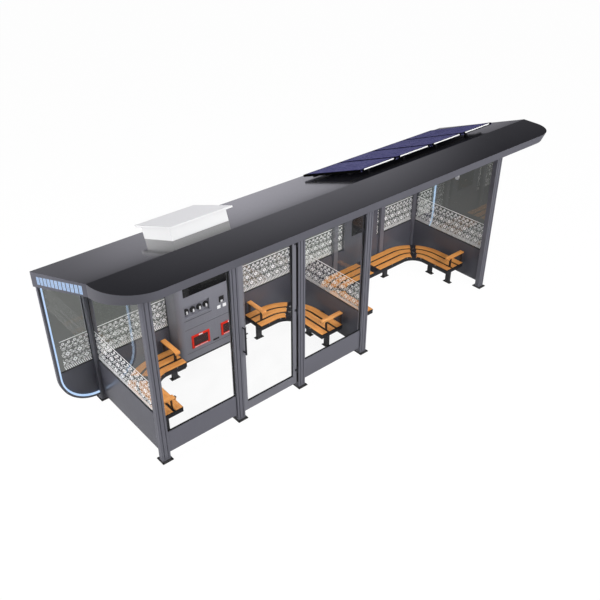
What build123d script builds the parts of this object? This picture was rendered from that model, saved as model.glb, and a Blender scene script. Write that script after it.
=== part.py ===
"""Bus shelter: a glazed waiting room and an open seating bay under one creased roof."""

import os
from math import atan, cos, degrees, hypot, radians, sin

from build123d import *

os.makedirs("parts", exist_ok=True)

# Frame: X runs along the shelter, Y from the kerb side to the back wall, Z up.
# The origin is on the ground under the middle of the roof. Sizes are in millimetres.

# --- Posts and bays -------------------------------------------------------------------
bay_widths = (1301, 1172, 1346, 3157)
row_spacing = 1756
post_size = 135
front_post_depth = 90
post_edge = 6
groove_width = 10
groove_depth = 12
groove_spacing = 60
groove_foot = 40
plate_size = 172
plate_thickness = 10
anchor_spacing = 146
anchor_radius = 6

# --- Roof: the fold runs along the front posts; heights are taken under the fold --------
headroom = 2936
end_overhang = 657
front_overhang = 590
fold_setback = 37
fold_thickness = 180
front_thickness = 115
back_thickness = 236
front_rise = 49
back_fall = 709
left_corner = 626
right_corner_top = 345
right_corner_foot = 600
roof_skin = 12
soffit_lift = 12
soffit_thickness = 18
fit_gap = 0.4
front_beam_depth = 96
back_beam_depth = 77

# --- Walls ----------------------------------------------------------------------------
panel_thickness = 40
glass_thickness = 10
panel_foot_z = 105
front_panel_top = 460
wall_panel_top = 752
rail_size = 60
mullion_offsets = (989, 2199)
mullion_width = 100

# --- Wings beyond the end walls -------------------------------------------------------
wing_foot_run = 7
rim_width = 34
rim_depth = 60
strip_size = 24

# --- Door -----------------------------------------------------------------------------
door_thickness = 45
door_stile = 65
door_rail = 145
door_foot_z = 100
door_head_gap = 6
door_strike_gap = 8
hinge_gap = 24
hinge_proud = 9
hinge_pin = 5
hinge_radius = 9
hinge_knuckle = 40
hinge_play = 0.3
hinge_plate = (42, 4)
hinge_inset = 260
handle_low_z = 1165
handle_length = 460
handle_radius = 13
handle_stem = 9
handle_stem_inset = 26
handle_standoff = 62

# --- Kiosk in the back wall -----------------------------------------------------------
kiosk_width = 1300
kiosk_reach = 340
kiosk_foot_z = 180
kiosk_edge = 90
kiosk_foot_size = 110
kiosk_foot_spread = 1240
kiosk_screen_width = 1060
kiosk_screen_z = (1395, 1575)
recess_shift = -300
recess_size = (460, 215)
recess_low_z = 1000
recess_depth = 45
hatch_size = (336, 234)
hatch_spread = 565
hatch_low_z = 410
hatch_border = 32
hatch_proud = 14

# --- Information panel in the open bay ------------------------------------------------
info_offsets = (1199, 2059)
info_thickness = 110
info_screen_width = 486
info_screen_z = (997, 1790)
screen_proud = 4

# --- Benches --------------------------------------------------------------------------
seat_top = 400
seat_back = 105
seat_front = 565
bend_radius = 266
slat_width = 128
slat_thickness = 30
slat_count = 3
cross_seat_run = 1400
kiosk_gaps = (59, 121)
seat_rail_height = 58
seat_rail_thickness = 8
leg_width = 90
leg_depth = 50
leg_plate = (157, 80)
seat_plate_width = 108
seat_joint = 2
cross_arm_inset = 60
back_arm_inset = 110
arm_top = 618
arm_width = 85
arm_wood = 23
arm_bar = (44, 8, 400)
arm_reach = (85, 520)
arm_upright = (44, 12)
bay_divider = 165
bay_setback = 56
near_leg = 130
leg_spacing = 450
bay_leg_inset = 480

# --- Roof plant -----------------------------------------------------------------------
unit_from_left = 1246
unit_behind_fold = 905
unit_size = (886, 805)
unit_height = 178
unit_lid = 24
unit_overhang = (45, 115)
solar_from_partition = 51
solar_width = 3121
solar_behind_fold = (220, 1503)
solar_lift = (114, 78)
solar_count = 4
solar_gap = 10
solar_thickness = 34
solar_rail = 40
solar_rail_gauge = 20
solar_rail_spacing = 850
solar_foot = 110

# --- Camera under the front overhang ----------------------------------------------------
camera_from_partition = 1399
camera_from_front = 106
camera_drop = 62
camera_base = (34, 9)
camera_neck = 10
camera_radius = 31
camera_length = 118
camera_turn = (-0.74, -0.55, -0.38)

# --- Values that follow from the sizes above ------------------------------------------
roof_length = sum(bay_widths) + 2 * end_overhang
roof_depth = row_spacing + front_overhang + plate_size / 2
nose_depth = front_overhang + fold_setback
ridge_under_z = headroom
ridge_top_z = ridge_under_z + fold_thickness
front_under_z = headroom + front_rise
front_top_z = front_under_z + front_thickness
back_under_z = headroom - back_fall
back_top_z = back_under_z + back_thickness
front_post_top = headroom - front_beam_depth
back_post_top = back_under_z - back_beam_depth
half_roof = roof_length / 2
roof_back_y = roof_depth / 2
roof_front_y = -roof_depth / 2
ridge_y = roof_front_y + nose_depth
back_y = roof_back_y - plate_size / 2
front_y = back_y - row_spacing
half_post = post_size / 2
half_front_post = front_post_depth / 2
post_x = [-sum(bay_widths) / 2]
for bay in bay_widths:
    post_x.append(post_x[-1] + bay)
left_x, door_left_x, door_right_x, partition_x, right_x = post_x
kiosk_centre_x = (door_left_x + door_right_x) / 2
kiosk_left = kiosk_centre_x - kiosk_width / 2
kiosk_right = kiosk_centre_x + kiosk_width / 2
kiosk_front_y = back_y - kiosk_reach
back_mullions = [partition_x + offset for offset in mullion_offsets]
info_left_x, info_right_x = [partition_x + offset for offset in info_offsets]
seat_end_y = back_y - cross_seat_run
seat_depth = seat_front - seat_back
seat_middle = (seat_back + seat_front) / 2
slat_gap = (seat_depth - slat_count * slat_width) / (slat_count - 1)
rail_foot = seat_top - slat_thickness - seat_rail_height
bearer_height = seat_rail_height / 2


def along(y, back_z, ridge_z, front_z):
    """Height at depth y of a surface creased over the ridge line."""
    if y > ridge_y:
        return ridge_z + (back_z - ridge_z) * (y - ridge_y) / (roof_back_y - ridge_y)
    return ridge_z + (front_z - ridge_z) * (ridge_y - y) / nose_depth


def roof_top(y):
    return along(y, back_top_z, ridge_top_z, front_top_z)


def roof_under(y):
    return along(y, back_under_z, ridge_under_z, front_under_z)


def soffit_z(y):
    return roof_under(y) + soffit_lift


def save(part, name):
    """Labels a finished piece and writes it under its own name."""
    part.label = name
    export_step(part, f"parts/{name}.step")


def roof_plan(inset):
    """The roof's plan raised to a solid: the right front corner is rounder below than above."""
    plan_foot = ridge_under_z - roof_skin
    plan_top = ridge_top_z + roof_skin
    with BuildPart() as plan:
        for height, right_corner in ((plan_foot, right_corner_foot), (plan_top, right_corner_top)):
            with BuildSketch(Plane.XY.offset(height)):
                Rectangle(roof_length - 2 * inset, roof_depth - 2 * inset)
                corners = vertices().group_by(Axis.Y)[0].sort_by(Axis.X)
                fillet(corners[0], radius=left_corner - inset)
                corners = vertices().group_by(Axis.Y)[0].sort_by(Axis.X)
                fillet(corners[-1], radius=right_corner - inset)
        loft(ruled=True)
        extrude(faces().sort_by(Axis.Z)[0], amount=plan_foot)
        extrude(faces().sort_by(Axis.Z)[-1], amount=ridge_top_z)
    return plan.part


def roof_layer(inset, upper, lower):
    """A layer of the roof between two creased surfaces, cut to the roof's plan."""
    depths = (roof_back_y + nose_depth, ridge_y, roof_front_y - nose_depth)
    with BuildPart() as layer:
        with BuildSketch(Plane.YZ.offset(-roof_length)):
            with BuildLine():
                Polyline(
                    *[(y, upper(y)) for y in depths],
                    *[(y, lower(y)) for y in reversed(depths)],
                    close=True,
                )
            make_face()
        extrude(amount=2 * roof_length)
        add(roof_plan(inset), mode=Mode.INTERSECT)
    return layer.part


def yz_bar(points, x_from, width):
    """A bar of the outline given in Y and Z, running along X."""
    with BuildPart() as bar:
        with BuildSketch(Plane.YZ.offset(x_from)):
            with BuildLine():
                Polyline(*points, close=True)
            make_face()
        extrude(amount=width)
    return bar.part


# --- Roof: a folded cover with a closed fascia, and the soffit inside it ---------------
cover_space = roof_layer(
    roof_skin,
    lambda y: roof_top(y) - roof_skin,
    lambda y: roof_under(y) - soffit_lift,
)
roof_body = roof_layer(0, roof_top, roof_under)
with BuildPart() as roof_cover:
    add(roof_body)
    add(cover_space, mode=Mode.SUBTRACT)
save(roof_cover.part, "roof_cover")

with BuildPart() as roof_soffit:
    add(roof_layer(roof_skin + fit_gap, lambda y: soffit_z(y) + soffit_thickness, soffit_z))
save(roof_soffit.part, "roof_soffit")


# --- Posts ------------------------------------------------------------------------------
def post(x, y, top, depth):
    """A post with two grooves in its front face, standing on its base plate."""
    with BuildPart() as column:
        with BuildSketch(Plane.XY.offset(plate_thickness)):
            with Locations((x, y)):
                RectangleRounded(post_size, depth, post_edge)
        extrude(amount=top - plate_thickness)
        with BuildSketch(Plane.XZ.offset(depth / 2 - y)):
            with Locations((x, (top + groove_foot) / 2)):
                with GridLocations(groove_spacing, 0, 2, 1):
                    SlotOverall(top - groove_foot, groove_width, rotation=90)
        extrude(amount=-groove_depth, mode=Mode.SUBTRACT)
    return column.part


front_posts = [(x, front_y) for x in post_x]
back_posts = [(x, back_y) for x in (left_x, partition_x, right_x)]
for number, (x, y) in enumerate(front_posts, start=1):
    save(post(x, y, front_post_top, front_post_depth), f"front_post_{number}")
for number, (x, y) in enumerate(back_posts, start=1):
    save(post(x, y, back_post_top, post_size), f"back_post_{number}")

with BuildPart() as base_plates:
    with BuildSketch():
        with Locations(*front_posts, *back_posts):
            Rectangle(plate_size, plate_size)
            with GridLocations(anchor_spacing, anchor_spacing, 2, 2):
                Circle(anchor_radius, mode=Mode.SUBTRACT)
    extrude(amount=plate_thickness)
save(base_plates.part, "base_plates")

with BuildPart() as back_mullion_pair:
    for x in back_mullions:
        with BuildSketch(Plane.XY.offset(panel_foot_z)):
            with Locations((x, back_y)):
                RectangleRounded(mullion_width, post_size, post_edge)
        extrude(amount=back_post_top - panel_foot_z)
save(back_mullion_pair.part, "back_mullions")

# --- Beams on the posts, and the sloping rails over the cross walls ---------------------
beam_length = right_x - left_x + post_size
beam_front = front_y - half_front_post
beam_back = front_y + half_front_post
save(
    yz_bar(
        [
            (beam_front, front_post_top),
            (beam_back, front_post_top),
            (beam_back, soffit_z(beam_back)),
            (ridge_y, soffit_z(ridge_y)),
            (beam_front, soffit_z(beam_front)),
        ],
        left_x - half_post,
        beam_length,
    ),
    "front_beam",
)
rear_beam_front = back_y - half_post
rear_beam_back = roof_back_y - roof_skin - fit_gap
save(
    yz_bar(
        [
            (rear_beam_front, back_post_top),
            (rear_beam_back, back_post_top),
            (rear_beam_back, soffit_z(rear_beam_back)),
            (rear_beam_front, soffit_z(rear_beam_front)),
        ],
        left_x - half_post,
        beam_length,
    ),
    "back_beam",
)
with BuildPart() as cross_rails:
    for x in (left_x, partition_x, right_x):
        add(
            yz_bar(
                [
                    (beam_back, soffit_z(beam_back)),
                    (rear_beam_front, soffit_z(rear_beam_front)),
                    (rear_beam_front, soffit_z(rear_beam_front) - rail_size),
                    (beam_back, soffit_z(beam_back) - rail_size),
                ],
                x - rail_size / 2,
                rail_size,
            )
        )
save(cross_rails.part, "cross_rails")


# --- Walls ------------------------------------------------------------------------------
def front_pane(x_from, x_to, low, high, thickness, y):
    """A flat pane or panel that stands along X between two uprights."""
    with BuildPart() as pane:
        with BuildSketch(Plane.XZ.offset(-y - thickness / 2)):
            with Locations(((x_from + x_to) / 2, (low + high) / 2)):
                Rectangle(x_to - x_from, high - low)
        extrude(amount=thickness)
    return pane.part


def cross_pane(x, low, thickness, high=None):
    """A pane or panel of a cross wall; without a top height it follows the sloping rail."""
    start = beam_back
    end = rear_beam_front
    top_start = high or soffit_z(start) - rail_size
    top_end = high or soffit_z(end) - rail_size
    points = [(start, low), (end, low), (end, top_end), (start, top_start)]
    return yz_bar(points, x - thickness / 2, thickness)


front_bays = ((left_x, door_left_x), (door_right_x, partition_x))
with BuildPart() as front_panels:
    for start, end in front_bays:
        add(front_pane(start + half_post, end - half_post, panel_foot_z, front_panel_top,
                       panel_thickness, front_y))
save(front_panels.part, "front_panels")

with BuildPart() as front_glass:
    for start, end in front_bays:
        add(front_pane(start + half_post, end - half_post, front_panel_top, front_post_top,
                       glass_thickness, front_y))
save(front_glass.part, "front_glass")

cross_walls = (left_x, partition_x, right_x)
with BuildPart() as cross_panels:
    for x in cross_walls:
        add(cross_pane(x, panel_foot_z, panel_thickness, wall_panel_top))
save(cross_panels.part, "cross_panels")

with BuildPart() as cross_glass:
    for x in cross_walls:
        add(cross_pane(x, wall_panel_top, glass_thickness))
save(cross_glass.part, "cross_glass")

half_mullion = mullion_width / 2
back_bays = (
    (left_x + half_post, kiosk_left - fit_gap),
    (kiosk_right + fit_gap, partition_x - half_post),
    (partition_x + half_post, back_mullions[0] - half_mullion),
    (back_mullions[0] + half_mullion, back_mullions[1] - half_mullion),
    (back_mullions[1] + half_mullion, right_x - half_post),
)
# --- Wings: the back wall runs on past each end inside a curved rim ---------------------
wing_outer_x = -(half_roof - roof_skin - fit_gap)
wing_inner_x = left_x - half_post
wing_corner_radius = wing_inner_x - wing_outer_x - wing_foot_run
above_soffit = roof_layer(roof_skin + fit_gap, lambda y: soffit_z(y) + ridge_top_z, soffit_z)


def wing_sheet(inset, thickness, low=0, high=back_top_z, y=back_y):
    """The left wing's outline, drawn in by inset and kept between two heights."""
    with BuildPart() as sheet:
        with BuildSketch(Plane.XZ.offset(-y - thickness / 2)):
            with BuildLine():
                outer = wing_outer_x + inset
                foot = panel_foot_z + inset
                radius = wing_corner_radius - inset
                Polyline((outer, foot + radius), (outer, high), (wing_inner_x, high),
                         (wing_inner_x, foot), (outer + radius, foot))
                RadiusArc((outer + radius, foot), (outer, foot + radius), radius)
            make_face()
            with Locations((wing_inner_x, (low + high) / 2)):
                Rectangle(2 * wing_corner_radius + 2 * rim_width, high - low,
                          mode=Mode.INTERSECT)
        extrude(amount=thickness)
        add(above_soffit, mode=Mode.SUBTRACT)
    return sheet.part


with BuildPart() as left_rim:
    add(wing_sheet(0, rim_depth))
    add(wing_sheet(rim_width, rim_depth), mode=Mode.SUBTRACT)
with BuildPart() as wing_rims:
    add(left_rim.part)
    mirror(left_rim.part, about=Plane.YZ)
save(wing_rims.part, "wing_rims")

strip_y = back_y - glass_thickness / 2 - strip_size / 2 - fit_gap
with BuildPart() as left_strip:
    add(wing_sheet(rim_width + fit_gap, strip_size, high=back_under_z, y=strip_y))
    add(wing_sheet(rim_width + fit_gap + strip_size, strip_size, high=back_under_z, y=strip_y),
        mode=Mode.SUBTRACT)
with BuildPart() as light_strips:
    add(left_strip.part)
    mirror(left_strip.part, about=Plane.YZ)
save(light_strips.part, "light_strips")

with BuildPart() as left_wing_panel:
    add(wing_sheet(rim_width, panel_thickness / 2, high=wall_panel_top, y=back_y + panel_thickness / 4))
with BuildPart() as back_panels:
    for start, end in back_bays:
        add(front_pane(start, end, panel_foot_z, wall_panel_top, panel_thickness, back_y))
    add(left_wing_panel.part)
    mirror(left_wing_panel.part, about=Plane.YZ)
save(back_panels.part, "back_panels")

glass_bays = back_bays[:3] + (
    (back_mullions[0] + half_mullion, info_left_x),
    (info_right_x, back_mullions[1] - half_mullion),
    back_bays[4],
)
with BuildPart() as left_wing_glass:
    add(wing_sheet(rim_width, glass_thickness, low=wall_panel_top))
with BuildPart() as back_glass:
    for start, end in glass_bays:
        add(front_pane(start, end, wall_panel_top, back_post_top, glass_thickness, back_y))
    add(left_wing_glass.part)
    mirror(left_wing_glass.part, about=Plane.YZ)
save(back_glass.part, "back_glass")

# --- Door: hinged on the post nearer the open bay, opening outwards ---------------------
door_strike_x = door_left_x + half_post + door_strike_gap
door_hinge_x = door_right_x - half_post - hinge_gap
door_width = door_hinge_x - door_strike_x
door_head_z = front_post_top - door_head_gap
door_face_y = front_y - door_thickness / 2
door_mid_x = (door_strike_x + door_hinge_x) / 2
pane_low = door_foot_z + door_rail
pane_high = door_head_z - door_stile
pane_width = door_width - 2 * door_stile
with BuildPart() as door_frame:
    add(front_pane(door_strike_x, door_hinge_x, door_foot_z, door_head_z, door_thickness, front_y))
    with BuildSketch(Plane.XZ.offset(-door_face_y)):
        with Locations((door_mid_x, (pane_low + pane_high) / 2)):
            Rectangle(pane_width, pane_high - pane_low)
    extrude(amount=-door_thickness, mode=Mode.SUBTRACT)
save(door_frame.part, "door_frame")

save(
    front_pane(door_mid_x - pane_width / 2, door_mid_x + pane_width / 2, pane_low, pane_high,
               glass_thickness, front_y),
    "door_glass",
)

handle_x = door_strike_x + door_stile / 2
handle_y = door_face_y - handle_standoff
with BuildPart() as door_handle:
    with BuildSketch(Plane.XY.offset(handle_low_z)):
        with Locations((handle_x, handle_y)):
            Circle(handle_radius)
    extrude(amount=handle_length)
    with BuildSketch(Plane.XZ.offset(-door_face_y)):
        with Locations((handle_x, handle_low_z + handle_length / 2)):
            with GridLocations(0, handle_length - 2 * handle_stem_inset, 1, 2):
                Circle(handle_stem)
    extrude(amount=handle_standoff)
save(door_handle.part, "door_handle")

hinge_x = door_right_x - half_post - hinge_gap / 2
hinge_y = door_face_y - hinge_proud
hinge_heights = (door_foot_z + hinge_inset, (door_foot_z + door_head_z) / 2, door_head_z - hinge_inset)
plate_reach, plate_gauge = hinge_plate
with BuildPart() as door_hinges:
    for height in hinge_heights:
        for step in (-1, 1):
            with BuildSketch(Plane.XY.offset(height + (step - 0.5) * hinge_knuckle)):
                with Locations((hinge_x, hinge_y)):
                    Circle(hinge_radius)
                with Locations((hinge_x, door_face_y)):
                    Rectangle(hinge_gap / 2, plate_gauge, align=(Align.MIN, Align.MAX))
                with Locations((hinge_x + hinge_gap / 2, door_face_y - plate_gauge)):
                    Rectangle(plate_gauge, plate_reach, align=(Align.MAX, Align.MIN))
            extrude(amount=hinge_knuckle)
        with BuildSketch(Plane.XY.offset(height - 1.5 * hinge_knuckle)):
            with Locations((hinge_x, hinge_y)):
                Circle(hinge_pin)
        extrude(amount=3 * hinge_knuckle)
save(door_hinges.part, "door_hinges")

with BuildPart() as door_knuckles:
    for height in hinge_heights:
        with BuildSketch(Plane.XY.offset(height - hinge_knuckle / 2 + hinge_play)):
            with Locations((hinge_x, door_face_y)):
                Rectangle(plate_reach, plate_gauge, align=(Align.MAX, Align.MAX))
            with Locations((hinge_x, hinge_y)):
                Circle(hinge_radius)
                Circle(hinge_pin + hinge_play, mode=Mode.SUBTRACT)
        extrude(amount=hinge_knuckle - 2 * hinge_play)
save(door_knuckles.part, "door_knuckles")

# --- Kiosk: a service cabinet that closes one bay of the back wall ----------------------
kiosk_depth = back_y + panel_thickness / 2 - kiosk_front_y
kiosk_mid_y = kiosk_front_y + kiosk_depth / 2
with BuildPart() as kiosk_body:
    with BuildSketch(Plane.XY.offset(kiosk_foot_z)):
        with Locations((kiosk_centre_x, kiosk_mid_y)):
            Rectangle(kiosk_width, kiosk_depth)
        fillet(vertices().group_by(Axis.Y)[0], radius=kiosk_edge)
    extrude(amount=back_post_top - kiosk_foot_z)
    with BuildSketch(Plane.XZ.offset(-kiosk_front_y)):
        with Locations((kiosk_centre_x + recess_shift, recess_low_z)):
            Rectangle(*recess_size, align=(Align.CENTER, Align.MIN))
    extrude(amount=-recess_depth, mode=Mode.SUBTRACT)
save(kiosk_body.part, "kiosk_body")

with BuildPart() as kiosk_feet:
    with BuildSketch():
        with Locations((kiosk_centre_x, kiosk_mid_y)):
            with GridLocations(kiosk_foot_spread, 0, 2, 1):
                Rectangle(kiosk_foot_size, kiosk_foot_size)
    extrude(amount=kiosk_foot_z)
    with BuildSketch():
        with Locations((kiosk_centre_x, kiosk_mid_y)):
            with GridLocations(kiosk_foot_spread, 0, 2, 1):
                Rectangle(leg_plate[0], leg_plate[0])
    extrude(amount=plate_thickness)
save(kiosk_feet.part, "kiosk_feet")

hatch_middle = hatch_low_z + hatch_size[1] / 2
with BuildPart() as kiosk_hatches:
    with BuildSketch(Plane.XZ.offset(-kiosk_front_y)):
        with Locations((kiosk_centre_x, hatch_middle)):
            with GridLocations(hatch_spread, 0, 2, 1):
                Rectangle(*hatch_size)
                Rectangle(hatch_size[0] - 2 * hatch_border, hatch_size[1] - 2 * hatch_border,
                          mode=Mode.SUBTRACT)
    extrude(amount=hatch_proud)
save(kiosk_hatches.part, "kiosk_hatches")

# --- Information panel ------------------------------------------------------------------
save(
    front_pane(info_left_x, info_right_x, wall_panel_top, back_post_top, info_thickness, back_y),
    "info_panel",
)
info_mid_x = (info_left_x + info_right_x) / 2
with BuildPart() as screens:
    add(front_pane(kiosk_centre_x - kiosk_screen_width / 2, kiosk_centre_x + kiosk_screen_width / 2,
                   *kiosk_screen_z, screen_proud, kiosk_front_y - screen_proud / 2))
    add(front_pane(info_mid_x - info_screen_width / 2, info_mid_x + info_screen_width / 2,
                   *info_screen_z, screen_proud, back_y - info_thickness / 2 - screen_proud / 2))
save(screens.part, "screens")


# --- Benches ----------------------------------------------------------------------------
class Bench:
    """Lines of one L-shaped bench: it follows a cross wall, then turns along the back wall."""

    def __init__(self, wall_x, end_x):
        self.wall_x = wall_x
        self.end_x = end_x
        self.side = 1 if end_x > wall_x else -1
        self.length = abs(end_x - wall_x)
        self.bend = (self.x(seat_front + bend_radius), back_y - seat_front - bend_radius)

    def x(self, offset):
        """X of the line that runs at this distance from the cross wall."""
        return self.wall_x + self.side * offset

    def path(self, offset):
        """Centre line at this distance from both walls, rounded about the bend's centre."""
        corner_y = back_y - offset
        return FilletPolyline(
            (self.x(offset), seat_end_y),
            (self.x(offset), corner_y),
            (self.end_x, corner_y),
            radius=bend_radius + seat_front - offset,
        )

    def diagonal(self, offset):
        """Place on the bend's diagonal at this distance from both walls."""
        reach = (bend_radius + seat_front - offset) / 2 ** 0.5
        angle = 45 if self.side < 0 else 135
        return Location((self.bend[0] - self.side * reach, self.bend[1] + reach), angle)


def seat_slats(bench):
    """Three rows of wooden slats, parted by the plate across the bend."""
    with BuildPart() as slats:
        for row in range(slat_count):
            offset = seat_back + slat_width / 2 + row * (slat_width + slat_gap)
            with BuildSketch(Plane.XY.offset(seat_top - slat_thickness)):
                with BuildLine():
                    bench.path(offset)
                trace(line_width=slat_width)
            extrude(amount=slat_thickness)
        with BuildSketch(Plane.XY.offset(seat_top - slat_thickness)):
            with Locations(bench.diagonal(seat_middle)):
                Rectangle(2 * seat_depth, seat_plate_width + 2 * seat_joint)
        extrude(amount=slat_thickness, mode=Mode.SUBTRACT)
    return slats.part


def seat_plate(bench):
    """Steel plate that covers the joint of the slats at the bend."""
    with BuildPart() as plate:
        with BuildSketch(Plane.XY.offset(seat_top - slat_thickness)):
            with Locations(bench.diagonal(seat_middle)):
                Rectangle(seat_depth, seat_plate_width)
        extrude(amount=slat_thickness)
    return plate.part


def arm_spots(bench, cross_arm, back_arm):
    """Middle and direction of each armrest: across the seat near one of its ends."""
    middle = sum(arm_reach) / 2
    spots = []
    if cross_arm:
        spots.append(Location((bench.x(middle), seat_end_y + cross_arm_inset), 0 if bench.side > 0 else 180))
    if back_arm:
        spots.append(Location((bench.end_x - bench.side * back_arm_inset, back_y - middle), -90))
    return spots


def leg_spots(bench, back_leg):
    """Middle and direction of each leg under one bench: one row a wall, all under the seat's middle."""
    turn = 90 if bench.side > 0 else -90
    rows = (seat_end_y + near_leg, seat_end_y + near_leg + leg_spacing)
    spots = [Location((bench.x(seat_middle), y), turn) for y in rows]
    spots.append(Location((bench.x(back_leg), back_y - seat_middle)))
    return spots


def seat_frame(bench, legs):
    """Steel rails under the seat's edges, closed by end bars, with a bearer over each leg."""
    bearer_length = seat_front - panel_thickness / 2
    ends = [
        Location((bench.x(seat_middle), seat_end_y + seat_rail_thickness / 2), 90),
        Location((bench.end_x - bench.side * seat_rail_thickness / 2, back_y - seat_middle)),
    ]
    with BuildPart() as frame:
        with BuildSketch(Plane.XY.offset(rail_foot)):
            for offset in (seat_back + seat_rail_thickness / 2, seat_front - seat_rail_thickness / 2):
                with BuildLine():
                    bench.path(offset)
                trace(line_width=seat_rail_thickness)
            with Locations(*ends):
                Rectangle(seat_rail_thickness, seat_depth)
        extrude(amount=seat_rail_height)
        with BuildSketch(Plane.XY.offset(rail_foot)):
            with Locations(*legs):
                with Locations((0, seat_middle - seat_front)):
                    Rectangle(leg_depth, bearer_length, align=(Align.CENTER, Align.MIN))
        extrude(amount=bearer_height)
    return frame.part


def arm_bracket(spot):
    """Two uprights joined by a flat bar under the armrest and another on the bearers."""
    arm_middle = sum(arm_reach) / 2
    wall_end = seat_back - arm_upright[1] / 2 - arm_middle
    slat_end = seat_front - slat_width - slat_gap / 2 - arm_middle
    rail_side = seat_back + seat_rail_thickness - arm_middle
    bracket_foot = rail_foot + bearer_height
    with BuildPart() as bracket:
        with BuildSketch(Plane.XY.offset(bracket_foot)):
            with Locations(spot):
                with Locations((wall_end, 0), (slat_end, 0)):
                    Rectangle(arm_upright[1], arm_upright[0])
        extrude(amount=arm_top - arm_wood - bracket_foot)
        with BuildSketch(Plane.XY.offset(bracket_foot)):
            with Locations(spot):
                with Locations((rail_side, 0)):
                    Rectangle(slat_end - rail_side, arm_bar[0], align=(Align.MIN, Align.CENTER))
        extrude(amount=arm_bar[1])
        with BuildSketch(Plane.XY.offset(arm_top - arm_wood - arm_bar[1])):
            with Locations(spot):
                with Locations((wall_end, 0)):
                    Rectangle(arm_bar[2], arm_bar[0], align=(Align.MIN, Align.CENTER))
        extrude(amount=arm_bar[1])
    return bracket.part


def arm_rest(spot):
    """Wooden top of one armrest, rounded in plan at its front end."""
    reach = arm_reach[1] - arm_reach[0]
    with BuildPart() as rest:
        with BuildSketch(Plane.XY.offset(arm_top - arm_wood)):
            with Locations(spot):
                RectangleRounded(reach, arm_width, arm_wood / 2)
        extrude(amount=arm_wood)
    return rest.part


bay_middle = (partition_x + right_x) / 2
room_left = Bench(left_x, kiosk_left - kiosk_gaps[0])
room_right = Bench(partition_x, kiosk_right + kiosk_gaps[1])
bay_left = Bench(partition_x + bay_setback, bay_middle - bay_divider / 2)
bay_right = Bench(right_x, bay_middle + bay_divider / 2)
benches = (room_left, room_right, bay_left, bay_right)
legs = {bench: leg_spots(bench, bench.length - back_arm_inset) for bench in benches[:2]}
for bench in benches[2:]:
    legs[bench] = leg_spots(bench, abs(bay_middle - bench.wall_x) - bay_leg_inset)
arms = arm_spots(room_left, True, True) + arm_spots(room_right, True, True)
arms += arm_spots(bay_right, True, False)

save(seat_slats(room_left), "room_left_slats")
save(seat_slats(room_right), "room_right_slats")
with BuildPart() as bay_slats:
    add(seat_slats(bay_left))
    add(seat_slats(bay_right))
save(bay_slats.part, "bay_slats")

save(seat_frame(room_left, legs[room_left]), "room_left_frame")
save(seat_frame(room_right, legs[room_right]), "room_right_frame")
with BuildPart() as bay_frame:
    for bench in (bay_left, bay_right):
        add(seat_frame(bench, legs[bench]))
    with BuildSketch(Plane.XY.offset(rail_foot)):
        with Locations((bay_middle, back_y - seat_middle)):
            Rectangle(bay_divider, seat_depth)
    extrude(amount=bearer_height)
save(bay_frame.part, "bay_frame")

every_leg = [spot for spots in legs.values() for spot in spots]
with BuildPart() as bench_legs:
    with BuildSketch(Plane.XY.offset(plate_thickness)):
        with Locations(*every_leg):
            Rectangle(leg_width, leg_depth)
    extrude(amount=rail_foot - plate_thickness)
save(bench_legs.part, "bench_legs")

with BuildPart() as bench_plates:
    with BuildSketch():
        with Locations(*every_leg):
            Rectangle(*leg_plate)
    extrude(amount=plate_thickness)
save(bench_plates.part, "bench_plates")

with BuildPart() as arm_brackets:
    for spot in arms:
        add(arm_bracket(spot))
save(arm_brackets.part, "arm_brackets")

with BuildPart() as seat_plates:
    for bench in benches:
        add(seat_plate(bench))
    with BuildSketch(Plane.XY.offset(rail_foot + bearer_height)):
        with Locations((bay_middle, back_y - seat_middle)):
            Rectangle(bay_divider, seat_depth)
    extrude(amount=seat_top - rail_foot - bearer_height)
save(seat_plates.part, "seat_plates")

with BuildPart() as armrests:
    for spot in arms:
        add(arm_rest(spot))
save(armrests.part, "armrests")

# --- Roof plant: the equipment box and the solar array ----------------------------------
roof_slope = degrees(atan((ridge_top_z - back_top_z) / (roof_back_y - ridge_y)))


def slope_plane(x, y, z, slope):
    """Plane facing up out of a surface that falls towards the back."""
    normal = (0, sin(radians(slope)), cos(radians(slope)))
    return Plane(origin=(x, y, z), x_dir=(1, 0, 0), z_dir=normal)


front_slope = degrees(atan((front_under_z - ridge_under_z) / nose_depth))
camera_y = roof_front_y + camera_from_front
camera_plane = slope_plane(partition_x + camera_from_partition, camera_y, soffit_z(camera_y), front_slope)
camera_centre = camera_plane.offset(-camera_drop).origin
with BuildPart() as camera:
    with BuildSketch(camera_plane):
        Circle(camera_base[0])
    extrude(amount=-camera_base[1])
    with BuildSketch(camera_plane):
        Circle(camera_neck)
    extrude(amount=-camera_drop)
    with BuildSketch(Plane(origin=camera_centre, z_dir=camera_turn)):
        Circle(camera_radius)
    extrude(amount=camera_length / 2, both=True)
save(camera.part, "camera")

unit_y = ridge_y + unit_behind_fold
unit_plane = slope_plane(left_x + unit_from_left, unit_y, roof_top(unit_y), roof_slope)
with BuildPart() as roof_unit:
    with BuildSketch(unit_plane):
        Rectangle(*unit_size)
    extrude(amount=unit_height)
save(roof_unit.part, "roof_unit")
with BuildPart() as roof_unit_lid:
    with BuildSketch(unit_plane.offset(unit_height)):
        Rectangle(unit_size[0] + 2 * unit_overhang[0], unit_size[1] + 2 * unit_overhang[1])
    extrude(amount=unit_lid)
save(roof_unit_lid.part, "roof_unit_lid")

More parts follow.
